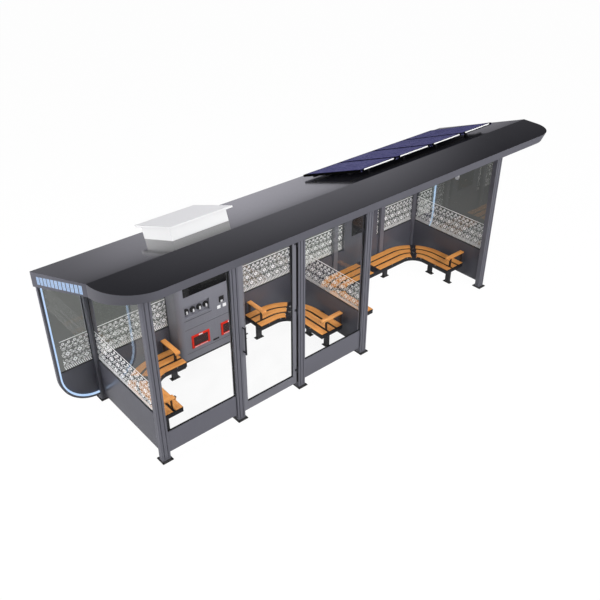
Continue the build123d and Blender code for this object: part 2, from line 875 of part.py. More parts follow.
solar_y = [ridge_y + setback for setback in solar_behind_fold]
solar_z = [roof_top(y) + lift for y, lift in zip(solar_y, solar_lift)]
solar_length = hypot(solar_y[1] - solar_y[0], solar_z[0] - solar_z[1])
solar_slope = degrees(atan((solar_z[0] - solar_z[1]) / (solar_y[1] - solar_y[0])))
solar_mid_x = partition_x + solar_from_partition + solar_width / 2
solar_plane = slope_plane(solar_mid_x, sum(solar_y) / 2, sum(solar_z) / 2, solar_slope)
solar_pitch = (solar_width + solar_gap) / solar_count
with BuildPart() as solar_panels:
    with BuildSketch(solar_plane):
        with GridLocations(solar_pitch, 0, solar_count, 1):
            Rectangle(solar_pitch - solar_gap, solar_length)
    extrude(amount=-solar_thickness)
save(solar_panels.part, "solar_panels")

with BuildPart() as solar_rack:
    with BuildSketch(solar_plane.offset(-solar_thickness)):
        with GridLocations(0, solar_rail_spacing, 1, 2):
            Rectangle(solar_width, solar_rail)
    extrude(amount=-solar_rail_gauge)
    with BuildSketch(solar_plane.offset(-solar_thickness)):
        with GridLocations(solar_pitch, solar_rail_spacing, solar_count, 2):
            Rectangle(solar_rail, solar_rail)
    extrude(amount=-solar_foot)
    add(roof_body, mode=Mode.SUBTRACT)
save(solar_rack.part, "solar_rack")
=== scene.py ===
import math
import bmesh
import bpy
from mathutils import Matrix, Vector


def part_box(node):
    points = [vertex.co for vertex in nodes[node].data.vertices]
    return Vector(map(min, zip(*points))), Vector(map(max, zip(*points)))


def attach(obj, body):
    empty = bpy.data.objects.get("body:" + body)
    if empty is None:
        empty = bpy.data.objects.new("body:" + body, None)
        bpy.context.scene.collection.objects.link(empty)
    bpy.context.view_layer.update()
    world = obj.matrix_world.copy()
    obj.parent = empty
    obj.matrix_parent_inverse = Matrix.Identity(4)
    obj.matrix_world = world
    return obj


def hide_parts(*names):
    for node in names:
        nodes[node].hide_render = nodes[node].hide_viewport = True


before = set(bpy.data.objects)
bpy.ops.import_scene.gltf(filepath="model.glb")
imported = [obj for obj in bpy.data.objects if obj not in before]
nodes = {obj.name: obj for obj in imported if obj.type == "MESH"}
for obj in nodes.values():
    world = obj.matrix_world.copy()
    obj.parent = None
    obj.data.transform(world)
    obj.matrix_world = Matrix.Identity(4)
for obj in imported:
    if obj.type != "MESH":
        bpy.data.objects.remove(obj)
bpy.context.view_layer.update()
scene = bpy.context.scene
shelterBody = "shelter"
doorBody = "door"


def linear(red, green, blue):
    # a display colour of 0-255 as the linear colour that sockets take
    parts = [c / 255 for c in (red, green, blue)]
    return tuple(c / 12.92 if c <= 0.04045 else ((c + 0.055) / 1.055) ** 2.4 for c in parts) + (1,)


def grey(value, blueShift=0):
    return linear(value, value, value + blueShift)


def newObject(name, mesh, material=None):
    piece = bpy.data.objects.new(name, mesh)
    scene.collection.objects.link(piece)
    if material is not None:
        mesh.materials.clear()
        mesh.materials.append(material)
    return piece


def meshFrom(name, build):
    # build(bm) adds the faces
    bm = bmesh.new()
    build(bm)
    mesh = bpy.data.meshes.new(name)
    bm.to_mesh(mesh)
    bm.free()
    return mesh


def breakEdges(bm, edges, width, segments):
    # small rounded edges that catch the light
    bmesh.ops.bevel(
        bm, geom=edges, offset=width, segments=segments, affect="EDGES", profile=0.6, clamp_overlap=True)


def addBox(bm, low, high, bevel=0.0, segments=1):
    # a box between two corners, with its edges broken
    made = bmesh.ops.create_cube(bm, size=1)["verts"]
    size = [h - l for l, h in zip(low, high)]
    centre = [(h + l) / 2 for l, h in zip(low, high)]
    for vert in made:
        vert.co = Vector([c + v * s for c, v, s in zip(centre, vert.co, size)])
    if bevel:
        edges = list({edge for vert in made for edge in vert.link_edges})
        breakEdges(bm, edges, bevel, segments)


def extruded(bm, outline, depth, place, bevel=0.0):
    # a closed outline in the local x-z plane, extruded along local y by depth and set in place by a matrix
    front = [bm.verts.new(place @ Vector((x, -depth / 2, z))) for x, z in outline]
    back = [bm.verts.new(place @ Vector((x, depth / 2, z))) for x, z in outline]
    faces = [bm.faces.new(front), bm.faces.new(list(reversed(back)))]
    for i in range(len(outline)):
        j = (i + 1) % len(outline)
        faces.append(bm.faces.new((front[j], front[i], back[i], back[j])))
    bmesh.ops.recalc_face_normals(bm, faces=faces)
    if bevel:
        breakEdges(bm, list(faces[0].edges) + list(faces[1].edges), bevel, 2)


def circle(radius, height, steps):
    # points of a level circle about local z
    turns = [2 * math.pi * k / steps for k in range(steps)]
    return [Vector((radius * math.cos(turn), radius * math.sin(turn), height)) for turn in turns]


def turned(bm, profile, place, steps=16):
    # a profile of (radius, height) points turned about local z, closed at both ends, set in place by a matrix
    rings = []
    for radius, height in profile:
        points = circle(radius, height, steps) if radius > 0 else [Vector((0, 0, height))]
        rings.append([bm.verts.new(place @ point) for point in points])
    faces = []
    for low, high in zip(rings, rings[1:]):
        for k in range(steps):
            j = (k + 1) % steps
            if len(low) == 1 and len(high) > 1:
                faces.append(bm.faces.new((low[0], high[j], high[k])))
            elif len(high) == 1 and len(low) > 1:
                faces.append(bm.faces.new((low[k], low[j], high[0])))
            elif len(low) > 1:
                faces.append(bm.faces.new((low[k], low[j], high[j], high[k])))
    if len(rings[0]) > 1:
        faces.append(bm.faces.new(list(reversed(rings[0]))))
    if len(rings[-1]) > 1:
        faces.append(bm.faces.new(rings[-1]))
    bmesh.ops.recalc_face_normals(bm, faces=faces)


def solidBoxes(node):
    # lowest and highest corners of each separate solid of a CAD node, from low x to high x
    bm = bmesh.new()
    bm.from_mesh(nodes[node].data)
    bmesh.ops.remove_doubles(bm, verts=bm.verts, dist=1e-6)
    seen = set()
    boxes = []
    for start in bm.verts:
        if start in seen:
            continue
        seen.add(start)
        queue = [start]
        points = []
        while queue:
            vert = queue.pop()
            points.append(vert.co.copy())
            for edge in vert.link_edges:
                other = edge.other_vert(vert)
                if other not in seen:
                    seen.add(other)
                    queue.append(other)
        low = Vector([min(p[i] for p in points) for i in range(3)])
        high = Vector([max(p[i] for p in points) for i in range(3)])
        boxes.append((low, high))
    bm.free()
    return sorted(boxes, key=lambda pair: (round(pair[0].x, 4), pair[0].y, pair[0].z))


def centreOf(node):
    low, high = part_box(node)
    return (low + high) / 2


def roofProfile():
    # the roof's upper outline, from the corners of its straight left end
    near = 0.002
    low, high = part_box("roof_cover")
    corners = [v.co for v in nodes["roof_cover"].data.vertices]
    end = [p for p in corners if p.x < low.x + near]
    backEdge = [p for p in end if p.y > high.y - near]
    back = max(backEdge, key=lambda p: p.z)
    backFoot = min(backEdge, key=lambda p: p.z)
    fold = max(end, key=lambda p: p.z)
    foldFoot = min((p for p in end if abs(p.y - fold.y) < near), key=lambda p: p.z)
    front = max((p for p in corners if p.y < low.y + near), key=lambda p: p.z)
    return {
        "backY": back.y,
        "backZ": back.z,
        "backFoot": backFoot.z,
        "foldY": fold.y,
        "foldZ": fold.z,
        "foldFoot": foldFoot.z,
        "frontY": front.y,
        "frontZ": front.z,
        "endX": low.x,
    }


roofLine = roofProfile()
print("roof line", {key: round(value, 3) for key, value in roofLine.items()})


def settle(piece, body, replaced=()):
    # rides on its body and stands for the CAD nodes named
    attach(piece, body)
    if replaced:
        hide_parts(*replaced)


def addPiece(name, build, material, body=shelterBody):
    # a piece of its own whose faces build(bm) makes
    settle(newObject(name, meshFrom(name, build), material), body)


def plugAll(tree, node, values):
    # each input takes what another socket gives, or a plain value
    for label, value in values.items():
        socket = node.inputs[label]
        if isinstance(value, bpy.types.NodeSocket):
            tree.links.new(value, socket)
        else:
            socket.default_value = value


def addNode(tree, kind, values=None, **settings):
    node = tree.nodes.new(kind)
    for key, setting in settings.items():
        setattr(node, key, setting)
    plugAll(tree, node, values or {})
    return node


def fromNode(tree, kind, values=None, **settings):
    # the first output of a new node
    return addNode(tree, kind, values, **settings).outputs[0]


def mathIn(tree, operation, first, second):
    return fromNode(tree, "ShaderNodeMath", {0: first, 1: second}, operation=operation)


def axesOf(tree, vector):
    return addNode(tree, "ShaderNodeSeparateXYZ", {0: vector}).outputs


def newTree(name, inputs):
    tree = bpy.data.node_groups.new(name, "GeometryNodeTree")
    tree.interface.new_socket("Geometry", in_out="INPUT", socket_type="NodeSocketGeometry")
    for label, kind in inputs.items():
        tree.interface.new_socket(label, in_out="INPUT", socket_type="NodeSocket" + kind)
    tree.interface.new_socket("Geometry", in_out="OUTPUT", socket_type="NodeSocketGeometry")
    return tree, addNode(tree, "NodeGroupInput").outputs


def finishTree(tree, given, geometry):
    # every tree ends in real meshes with their material set
    real = fromNode(tree, "GeometryNodeRealizeInstances", {"Geometry": geometry})
    painted = fromNode(tree, "GeometryNodeSetMaterial", {"Geometry": real, "Material": given["Material"]})
    addNode(tree, "NodeGroupOutput", {"Geometry": painted})
    return tree


def grow(name, mesh, tree, values):
    # the tree's result on a mesh, as a plain mesh object
    source = bpy.data.objects.new(name + "Source", mesh)
    modifier = source.modifiers.new("grow", "NODES")
    modifier.node_group = tree
    for item in tree.interface.items_tree:
        if item.item_type == "SOCKET" and item.in_out == "INPUT" and item.name in values:
            modifier[item.identifier] = values[item.name]
    scene.collection.objects.link(source)
    bpy.context.view_layer.update()
    evaluated = source.evaluated_get(bpy.context.evaluated_depsgraph_get())
    result = bpy.data.meshes.new_from_object(evaluated)
    result.name = name
    source.modifiers.remove(modifier)
    bpy.data.objects.remove(source)
    return newObject(name, result)


def captured(tree, geometry, kind, value):
    # keeps a value on the points while the geometry changes
    keep = addNode(tree, "GeometryNodeCaptureAttribute", domain="POINT")
    keep.capture_items.new(kind, "kept")
    plugAll(tree, keep, {"Geometry": geometry, "kept": value})
    return keep.outputs["Geometry"], keep.outputs["kept"]


def namedIn(tree, name, kind):
    return fromNode(tree, "GeometryNodeInputNamedAttribute", {"Name": name}, data_type=kind)


def pieceIn(tree, piece):
    info = addNode(tree, "GeometryNodeObjectInfo", {"Object": piece, "As Instance": True})
    return info.outputs["Geometry"]


def buildBoardTree():
    # a board of rounded section that follows lines, with its grain's place stored on it
    tree, given = newTree("boardAlongLine", {
        "Width": "Float",
        "Thickness": "Float",
        "Edge": "Float",
        "Material": "Material",
    })
    line = fromNode(tree, "GeometryNodeMeshToCurve", {"Mesh": given["Geometry"]})
    upright = fromNode(tree, "GeometryNodeSetCurveNormal", {"Curve": line}, mode="Z_UP")
    run = addNode(tree, "GeometryNodeSplineParameter").outputs["Length"]
    path, along = captured(tree, upright, "FLOAT", run)
    size = {"Width": given["Width"], "Height": given["Thickness"]}
    rounding = {"Curve": fromNode(tree, "GeometryNodeCurvePrimitiveQuadrilateral", size)}
    rounding.update({"Radius": given["Edge"], "Count": 3})
    section = fromNode(tree, "GeometryNodeFilletCurve", rounding, mode="POLY")
    profile, across = captured(tree, section, "VECTOR", fromNode(tree, "GeometryNodeInputPosition"))
    swept = {"Curve": path, "Profile Curve": profile, "Fill Caps": True}
    board = fromNode(tree, "GeometryNodeCurveToMesh", swept)
    parts = axesOf(tree, across)
    shifted = mathIn(tree, "ADD", parts[0], namedIn(tree, "board", "FLOAT"))
    place = fromNode(tree, "ShaderNodeCombineXYZ", {0: along, 1: shifted, 2: parts[1]})
    kept = {"Geometry": board, "Value": place, "Name": "grain"}
    marked = fromNode(tree, "GeometryNodeStoreNamedAttribute", kept, data_type="FLOAT_VECTOR", domain="POINT")
    flat = fromNode(tree, "GeometryNodeSetShadeSmooth", {"Geometry": marked, "Shade Smooth": False})
    return finishTree(tree, given, flat)


def buildScatterTree():
    # one small piece set at every point of a mesh, turned to the point's own direction
    tree, given = newTree("pieceAtPoints", {"Piece": "Object", "Material": "Material"})
    spread = fromNode(tree, "GeometryNodeInstanceOnPoints", {
        "Points": fromNode(tree, "GeometryNodeMeshToPoints", {"Mesh": given["Geometry"]}),
        "Instance": pieceIn(tree, given["Piece"]),
        "Rotation": namedIn(tree, "turn", "FLOAT_VECTOR"),
    })
    return finishTree(tree, given, spread)


def buildLaceRowTree():
    # one lace tile repeated along a straight row
    tree, given = newTree("laceInRow", {
        "Motif": "Object",
        "Count": "Int",
        "Pitch": "Float",
        "Material": "Material",
    })
    step = fromNode(tree, "ShaderNodeCombineXYZ", {0: given["Pitch"]})
    row = fromNode(tree, "GeometryNodeMeshLine", {"Count": given["Count"], "Offset": step})
    motif = pieceIn(tree, given["Motif"])
    spread = fromNode(tree, "GeometryNodeInstanceOnPoints", {"Points": row, "Instance": motif})
    return finishTree(tree, given, spread)


boardTree = buildBoardTree()
scatterTree = buildScatterTree()
laceRowTree = buildLaceRowTree()


def chains(lines, boards=None):
    # a mesh of open point chains, each marked with its board's number
    verts, edges, marks = [], [], []
    for index, points in enumerate(lines):
        first = len(verts)
        verts += [tuple(p) for p in points]
        edges += [(first + k, first + k + 1) for k in range(len(points) - 1)]
        marks += [boards[index] if boards else 0.0] * len(points)
    mesh = bpy.data.meshes.new("chains")
    mesh.from_pydata(verts, edges, [])
    layer = mesh.attributes.new("board", "FLOAT", "POINT")
    layer.data.foreach_set("value", marks)
    return mesh


def scattered(name, motif, spots, material):
    # a motif object at each spot; a spot is (place, turn in radians about x, y and z)
    mesh = bpy.data.meshes.new("spots")
    mesh.from_pydata([tuple(place) for place, turn in spots], [], [])
    layer = mesh.attributes.new("turn", "FLOAT_VECTOR", "POINT")
    layer.data.foreach_set("vector", [value for place, turn in spots for value in turn])
    piece = grow(name, mesh, scatterTree, {"Piece": motif, "Material": material})
    bpy.data.objects.remove(motif)
    return piece


def newGroup(name, inputs, outputs=("Colour", "Roughness", "Height")):
    # an input with a plain number is a number, any other is a colour
    group = bpy.data.node_groups.new(name, "ShaderNodeTree")
    for label, value in inputs.items():
        kind = "NodeSocketFloat" if isinstance(value, float) else "NodeSocketColor"
        group.interface.new_socket(label, in_out="INPUT", socket_type=kind).default_value = value
    for label in outputs:
        kind = "NodeSocketColor" if label == "Colour" else "NodeSocketFloat"
        group.interface.new_socket(label, in_out="OUTPUT", socket_type=kind)
    return group, addNode(group, "NodeGroupInput").outputs


def noiseIn(tree, vector, scale, detail=3.0, stretch=None):
    if stretch:
        vector = fromNode(tree, "ShaderNodeMapping", {"Vector": vector, "Scale": stretch})
    values = {"Vector": vector, "Scale": scale, "Detail": detail}
    return addNode(tree, "ShaderNodeTexNoise", values).outputs["Fac"]


def remapIn(tree, value, low, high, toLow=0.0, toHigh=1.0, clamp=True):
    limits = {"Value": value, "From Min": low, "From Max": high, "To Min": toLow, "To Max": toHigh}
    return addNode(tree, "ShaderNodeMapRange", limits, clamp=clamp).outputs["Result"]


def mixIn(tree, factor, first, second):
    return addNode(tree, "ShaderNodeMix", {0: factor, 6: first, 7: second}, data_type="RGBA").outputs[2]


def objectPlace(tree):
    return addNode(tree, "ShaderNodeTexCoord").outputs["Object"]


def buildCoating():
    # powder coat: fine orange peel, slow drifts of tone, and dust that thickens towards the ground
    defaults = {"Colour": (0.1, 0.1, 0.1, 1), "Drift": 0.1, "Rough": 0.4, "Peel": 420.0, "Dust": 0.15}
    group, given = newGroup("powderCoat", defaults)
    place = objectPlace(group)
    slow = noiseIn(group, place, 1.7, 4.0)
    streak = noiseIn(group, place, 5.0, 4.0, (9.0, 9.0, 0.8))
    peel = noiseIn(group, place, given["Peel"], 1.0)
    speck = noiseIn(group, place, 95.0, 2.0)
    tone = mathIn(group, "ADD", mathIn(group, "MULTIPLY", slow, 0.6), mathIn(group, "MULTIPLY", streak, 0.4))
    swing = mathIn(group, "MULTIPLY", mathIn(group, "SUBTRACT", tone, 0.5), given["Drift"])
    gain = mathIn(group, "ADD", mathIn(group, "MULTIPLY", swing, 4.0), 1.0)
    scaled = fromNode(group, "ShaderNodeVectorMath", {0: given["Colour"], "Scale": gain}, operation="SCALE")
    low = remapIn(group, axesOf(group, place)[2], 0.0, 0.35, 1.0, 0.0)
    dusty = mathIn(group, "MULTIPLY", mathIn(group, "MULTIPLY", low, speck), given["Dust"])
    grit = mathIn(group, "MULTIPLY", mathIn(group, "SUBTRACT", speck, 0.5), 0.10)
    rough = mathIn(group, "ADD", grit, given["Rough"])
    addNode(group, "NodeGroupOutput", {
        "Colour": mixIn(group, dusty, scaled, (0.24, 0.235, 0.23, 1)),
        "Roughness": mathIn(group, "ADD", rough, mathIn(group, "MULTIPLY", dusty, 0.8)),
        "Height": peel,
    })
    return group


def buildWood():
    # oiled hardwood: long fibres, growth bands and a tone that changes from board to board
    group, given = newGroup("boardGrain", {label: (1, 1, 1, 1) for label in ("Light", "Middle", "Dark")})
    vector = addNode(group, "ShaderNodeAttribute", attribute_name="grain").outputs["Vector"]
    wander = noiseIn(group, vector, 1.0, 3.0, (1.6, 14.0, 14.0))
    values = {"Scale": 6.5, "Distortion": 5.0, "Detail": 3.0, "Detail Scale": 0.6}
    values["Vector"] = fromNode(group, "ShaderNodeMapping", {"Vector": vector, "Scale": (0.9, 2.2, 2.2)})
    bands = addNode(group, "ShaderNodeTexWave", values, wave_type="BANDS", bands_direction="Y").outputs["Fac"]
    fibre = noiseIn(group, vector, 1.0, 5.0, (9.0, 240.0, 240.0))
    tone = noiseIn(group, vector, 1.0, 0.0, (0.25, 0.9, 0.9))
    wandered = mathIn(group, "MULTIPLY", wander, 0.65)
    figure = mathIn(group, "ADD", mathIn(group, "MULTIPLY", bands, 0.35), wandered)
    ramp = addNode(group, "ShaderNodeValToRGB", {0: figure})
    ramp.color_ramp.elements[0].position = 0.25
    ramp.color_ramp.elements[1].position = 0.75
    base = mixIn(group, ramp.outputs[0], given["Dark"], given["Light"])
    toned = mixIn(group, remapIn(group, tone, 0.35, 0.65, 0.1, 0.6), base, given["Middle"])
    addNode(group, "NodeGroupOutput", {
        "Colour": mixIn(group, remapIn(group, fibre, 0.35, 0.6, 0.45, 0.0), toned, given["Dark"]),
        "Roughness": remapIn(group, fibre, 0.3, 0.7, 0.52, 0.36),
        "Height": fibre,
    })
    return group


def buildSmears():
    # faint wiping marks on glass and screens
    group, given = newGroup("wipeMarks", {"Rough": 0.03, "Amount": 0.05}, ("Roughness", "Height"))
    place = objectPlace(group)
    marks = noiseIn(group, place, 3.0, 5.0, (1.0, 1.0, 3.5))
    wiped = mathIn(group, "MULTIPLY", remapIn(group, marks, 0.45, 0.75), given["Amount"])
    addNode(group, "NodeGroupOutput", {
        "Roughness": mathIn(group, "ADD", wiped, given["Rough"]),
        "Height": noiseIn(group, place, 1.1, 1.0),
    })
    return group


coatingGroup = buildCoating()
woodGroup = buildWood()
smearGroup = buildSmears()


def newMaterial(name):
    material = bpy.data.materials.new(name)
    material.use_nodes = True
    tree = material.node_tree
    return material, tree, tree.nodes["Principled BSDF"]


def groupIn(tree, group, values):
    return addNode(tree, "ShaderNodeGroup", values, node_tree=group).outputs


def bumpIn(tree, height, strength, distance):
    return fromNode(tree, "ShaderNodeBump", {"Strength": strength, "Distance": distance, "Height": height})


def coated(name, colour, rough=0.4, metallic=0.0, drift=0.06, dust=0.12, ior=1.5, peel=420.0, bump=0.08):
    material, tree, shader = newMaterial(name)
    values = {"Colour": colour, "Drift": drift, "Rough": rough, "Peel": peel, "Dust": dust}
    coat = groupIn(tree, coatingGroup, values)
    plugAll(tree, shader, {
        "Base Color": coat["Colour"],
        "Roughness": coat["Roughness"],
        "Metallic": metallic,
        "IOR": ior,
        "Normal": bumpIn(tree, coat["Height"], bump, 0.0004),
    })
    return material


finishes = {
    "post": grey(101, 9),
    "panel": grey(80, 8),
    "rim": grey(84, 9),
    "roofTop": grey(34, 4),
    # painted shade: the darker grey that the front slope takes towards its front edge
    "roofFrontEdgeShade": grey(28, 4),
    "fascia": grey(84, 8),
    "door": grey(118, 8),
    "kiosk": grey(118, 8),
    "bench": grey(28, 6),
    "foot": grey(13, 2),
    "rack": grey(32, 4),
    "white": grey(230, 1),
    "red": linear(206, 34, 8),
    "lens": grey(150, 3),
    "key": grey(205, 2),
    "wood": (linear(240, 178, 104), linear(224, 152, 76), linear(158, 88, 32)),
}

enamel = {
    "topDepth": 0.003,  # what lies deeper below the slopes than this is fascia
    # painted reflection: IOR ranges by place that set how strongly each slope mirrors
    "rearPaintedSheenIor": (1.12, 1.95),
    "frontPaintedSheenIor": (1.45, 2.1),
    "gloss": (0.10, 0.14),
    "fasciaRough": 0.2,
}


def roofEnamel(name):
    # dark gloss on the two slopes, satin grey on the fascia and the underside
    line = roofLine
    material, tree, shader = newMaterial(name)
    place = objectPlace(tree)
    across, height = axesOf(tree, place)[1:]
    rear = remapIn(tree, across, line["foldY"], line["backY"], line["foldZ"], line["backZ"], clamp=False)
    front = remapIn(tree, across, line["foldY"], line["frontY"], line["foldZ"], line["frontZ"], clamp=False)
    below = mathIn(tree, "SUBTRACT", mathIn(tree, "MINIMUM", rear, front), height)
    isTop = mathIn(tree, "LESS_THAN", below, enamel["topDepth"])
    # painted shade: the front slope darkens from the fold to the front edge
    fold = remapIn(tree, across, line["frontY"], line["foldY"])
    top = mixIn(tree, fold, finishes["roofFrontEdgeShade"], finishes["roofTop"])
    colour = mixIn(tree, isTop, finishes["fascia"], top)
    cloud = remapIn(tree, noiseIn(tree, place, 0.8, 4.0), 0.3, 0.7, 0.0, 0.18)
    film = noiseIn(tree, place, 2.6, 5.0, (1.0, 0.5, 1.0))
    gloss = remapIn(tree, film, 0.3, 0.7, *enamel["gloss"])
    satin = mathIn(tree, "MULTIPLY", mathIn(tree, "SUBTRACT", 1.0, isTop), enamel["fasciaRough"])
    # painted reflection: the IOR is set by place, so the sheen fades from the back edge to the fold and from
    # the fold to the front edge
    rearPaintedSheenIor = remapIn(tree, across, line["foldY"], line["backY"], *enamel["rearPaintedSheenIor"])
    frontPaintedSheenIor = remapIn(tree, across, line["frontY"], line["foldY"], *enamel["frontPaintedSheenIor"])
    isRear = mathIn(tree, "GREATER_THAN", across, line["foldY"])
    swap = mathIn(tree, "MULTIPLY", isRear, mathIn(tree, "SUBTRACT", rearPaintedSheenIor, frontPaintedSheenIor))
    plugAll(tree, shader, {
        "Base Color": mixIn(tree, cloud, colour, grey(28, 2)),
        "Roughness": mathIn(tree, "ADD", gloss, satin),
        "IOR": mathIn(tree, "ADD", frontPaintedSheenIor, swap),
        "Normal": bumpIn(tree, noiseIn(tree, place, 300.0, 1.0), 0.03, 0.0004),
    })
    return material


postPaint = coated("postPowderCoat", finishes["post"], rough=0.42, metallic=0.15)
panelPaint = coated("wallPanelEnamel", finishes["panel"], rough=0.19, drift=0.09, ior=1.42, bump=0.03)
rimPaint = coated("wingRimPowderCoat", finishes["rim"])
roofPaint = roofEnamel("roofGlossEnamel")
doorPaint = coated("doorSatinAluminium", finishes["door"], metallic=0.2)
kioskPaint = coated("kioskSatinEnamel", finishes["kiosk"], rough=0.34, metallic=0.15, drift=0.08)
benchPaint = coated("benchDarkPowderCoat", finishes["bench"], rough=0.45, dust=0.25, peel=520.0)
footPaint = coated("basePlateDarkCoat", finishes["foot"], rough=0.5, dust=0.35, peel=520.0)
rackPaint = coated("rackAnodised", finishes["rack"], rough=0.35, metallic=0.3, dust=0.0)
unitPaint = coated("unitWhiteEnamel", finishes["white"], rough=0.35, drift=0.012, dust=0.0, bump=0.05)
redPaint = coated("hatchRedEnamel", finishes["red"], ior=1.35)
lensPaint = coated("cameraPaleShell", finishes["lens"], rough=0.3, drift=0.02, dust=0.0)
keyPaint = coated("keyPaleEnamel", finishes["key"], rough=0.3, drift=0.02, dust=0.0)


def brushedSteel(name, value, rough=0.28):
    material, tree, shader = newMaterial(name)
    lines = noiseIn(tree, objectPlace(tree), 30.0, 3.0, (1.0, 1.0, 14.0))
    plugAll(tree, shader, {
        "Base Color": mixIn(tree, lines, grey(value - 22), grey(value + 10)),
        "Roughness": remapIn(tree, lines, 0.3, 0.7, rough - 0.06, rough + 0.1),
        "Metallic": 1.0,
        "Normal": bumpIn(tree, lines, 0.06, 0.0003),
    })
    return material


def rubberMaterial(name, value, ior=1.5):
    material, tree, shader = newMaterial(name)
    grain = noiseIn(tree, objectPlace(tree), 260.0, 3.0)
    plugAll(tree, shader, {
        "Base Color": mixIn(tree, grain, grey(max(value - 8, 2)), grey(value + 8)),
        "Roughness": remapIn(tree, grain, 0.3, 0.7, 0.5, 0.7),
        "IOR": ior,
        "Normal": bumpIn(tree, grain, 0.15, 0.0004),
    })
    return material


def screenMaterial(name, dark, pale):
    material, tree, shader = newMaterial(name)
    marks = groupIn(tree, smearGroup, {"Rough": 0.06, "Amount": 0.12})
    plugAll(tree, shader, {
        "Base Color": mixIn(tree, noiseIn(tree, objectPlace(tree), 700.0, 1.0), dark, pale),
        "Roughness": marks["Roughness"],
        "Normal": bumpIn(tree, marks["Height"], 0.03, 0.001),
    })
    return material


def woodMaterial(name):
    material, tree, shader = newMaterial(name)
    grain = groupIn(tree, woodGroup, dict(zip(("Light", "Middle", "Dark"), finishes["wood"])))
    plugAll(tree, shader, {
        "Base Color": grain["Colour"],
        "Roughness": grain["Roughness"],
        "Coat Weight": 0.15,
        "Coat Roughness": 0.3,
        "Normal": bumpIn(tree, grain["Height"], 0.25, 0.0008),
    })
    return material


def clearGlass(name):
    # front panes and door: nearly invisible, so they go out by alpha
    material, tree, shader = newMaterial(name)
    marks = groupIn(tree, smearGroup, {"Rough": 0.02, "Amount": 0.05})
    edge = noiseIn(tree, objectPlace(tree), 2.2, 2.0)
    plugAll(tree, shader, {
        "Base Color": mixIn(tree, edge, grey(24, 4), grey(40, 6)),
        "Roughness": marks["Roughness"],
        "Alpha": remapIn(tree, edge, 0.3, 0.7, 0.02, 0.035),
    })
    return material


def tintedGlass(name):
    # end, back and wing panes: grey glass that mirrors what stands near it and lets the lamps through
    material, tree, shader = newMaterial(name)
    marks = groupIn(tree, smearGroup, {"Rough": 0.0, "Amount": 0.05})
    cloud = noiseIn(tree, objectPlace(tree), 0.9, 2.0)
    plugAll(tree, shader, {
        "Base Color": mixIn(tree, cloud, linear(234, 238, 234), linear(240, 243, 240)),
        "Roughness": marks["Roughness"],
        "Transmission Weight": 1.0,
        "IOR": 1.55,
    })
    clear = fromNode(tree, "ShaderNodeBsdfTransparent", {"Color": (0.6, 0.62, 0.6, 1)})
    isShadow = addNode(tree, "ShaderNodeLightPath").outputs["Is Shadow Ray"]
    blend = fromNode(tree, "ShaderNodeMixShader", {0: isShadow, 1: shader.outputs[0], 2: clear})
    plugAll(tree, tree.nodes["Material Output"], {"Surface": blend})
    return material


def laceMaterial(name):
    material, tree, shader = newMaterial(name)
    fleck = noiseIn(tree, objectPlace(tree), 160.0, 2.0)
    plugAll(tree, shader, {
        "Base Color": mixIn(tree, fleck, grey(216, 2), grey(240, 1)),
        "Roughness": remapIn(tree, fleck, 0.3, 0.7, 0.5, 0.65),
        "Normal": bumpIn(tree, fleck, 0.1, 0.0003),
    })
    return material


def lampMaterial(name, strength):
    material, tree, shader = newMaterial(name)
    cloud = noiseIn(tree, objectPlace(tree), 8.0, 2.0)
    plugAll(tree, shader, {
        "Base Color": mixIn(tree, cloud, linear(40, 56, 84), linear(58, 76, 104)),
        "Emission Color": mixIn(tree, cloud, linear(170, 206, 250), linear(208, 230, 255)),
        "Emission Strength": strength,
        "Roughness": 0.4,
    })
    return material


def cellMaterial(name):
    # solar cells: blue-violet squares with fine pale lines, laid out by their place along the panels
    material, tree, shader = newMaterial(name)
    place = objectPlace(tree)
    cells = fromNode(tree, "ShaderNodeTexBrick", {
        "Color1": linear(62, 62, 114),
        "Color2": linear(82, 82, 134),
        "Mortar": linear(132, 132, 174),
        "Scale": 1.0,
        "Mortar Size": 0.004,
        "Brick Width": 0.128,
        "Row Height": 0.128,
        "Vector": place,
    }, offset=0.0)
    cloud = noiseIn(tree, place, 14.0, 3.0)
    plugAll(tree, shader, {
        "Base Color": mixIn(tree, mathIn(tree, "MULTIPLY", cloud, 0.35), cells, linear(46, 44, 92)),
        "Roughness": remapIn(tree, cloud, 0.3, 0.7, 0.25, 0.35),
        "IOR": 1.02,
    })
    return material


boltMaterial = brushedSteel("boltBrightSteel", 205, 0.22)
beadMaterial = rubberMaterial("glazingRubber", 16)
trimMaterial = rubberMaterial("blackPlastic", 20)
solarBlack = rubberMaterial("solarFrameMattBlack", 9, 1.0)
glassScreen = screenMaterial("blackScreenGlass", grey(10), grey(20, 1))
hatchGlass = screenMaterial("hatchDarkRedGlass", linear(30, 14, 15), linear(66, 34, 34))
slatWood = woodMaterial("oiledSlatWood")
frontGlass = clearGlass("frontClearGlass")
wallGlass = tintedGlass("wallTintedGlass")
whiteLace = laceMaterial("whiteLaceEnamel")
stripLamp = lampMaterial("lightStripOpal", 0.95)
fasciaLamp = lampMaterial("fasciaLampOpal", 0.85)
anchorSteel = brushedSteel("anchorDarkSteel", 84, 0.35)
solarCells = cellMaterial("solarCells")


def dress(material, *names):
    for name in names:
        data = nodes[name].data
        if nodes[name].material_slots:
            for entry in nodes[name].material_slots:
                entry.material = material
        else:
            data.materials.append(material)


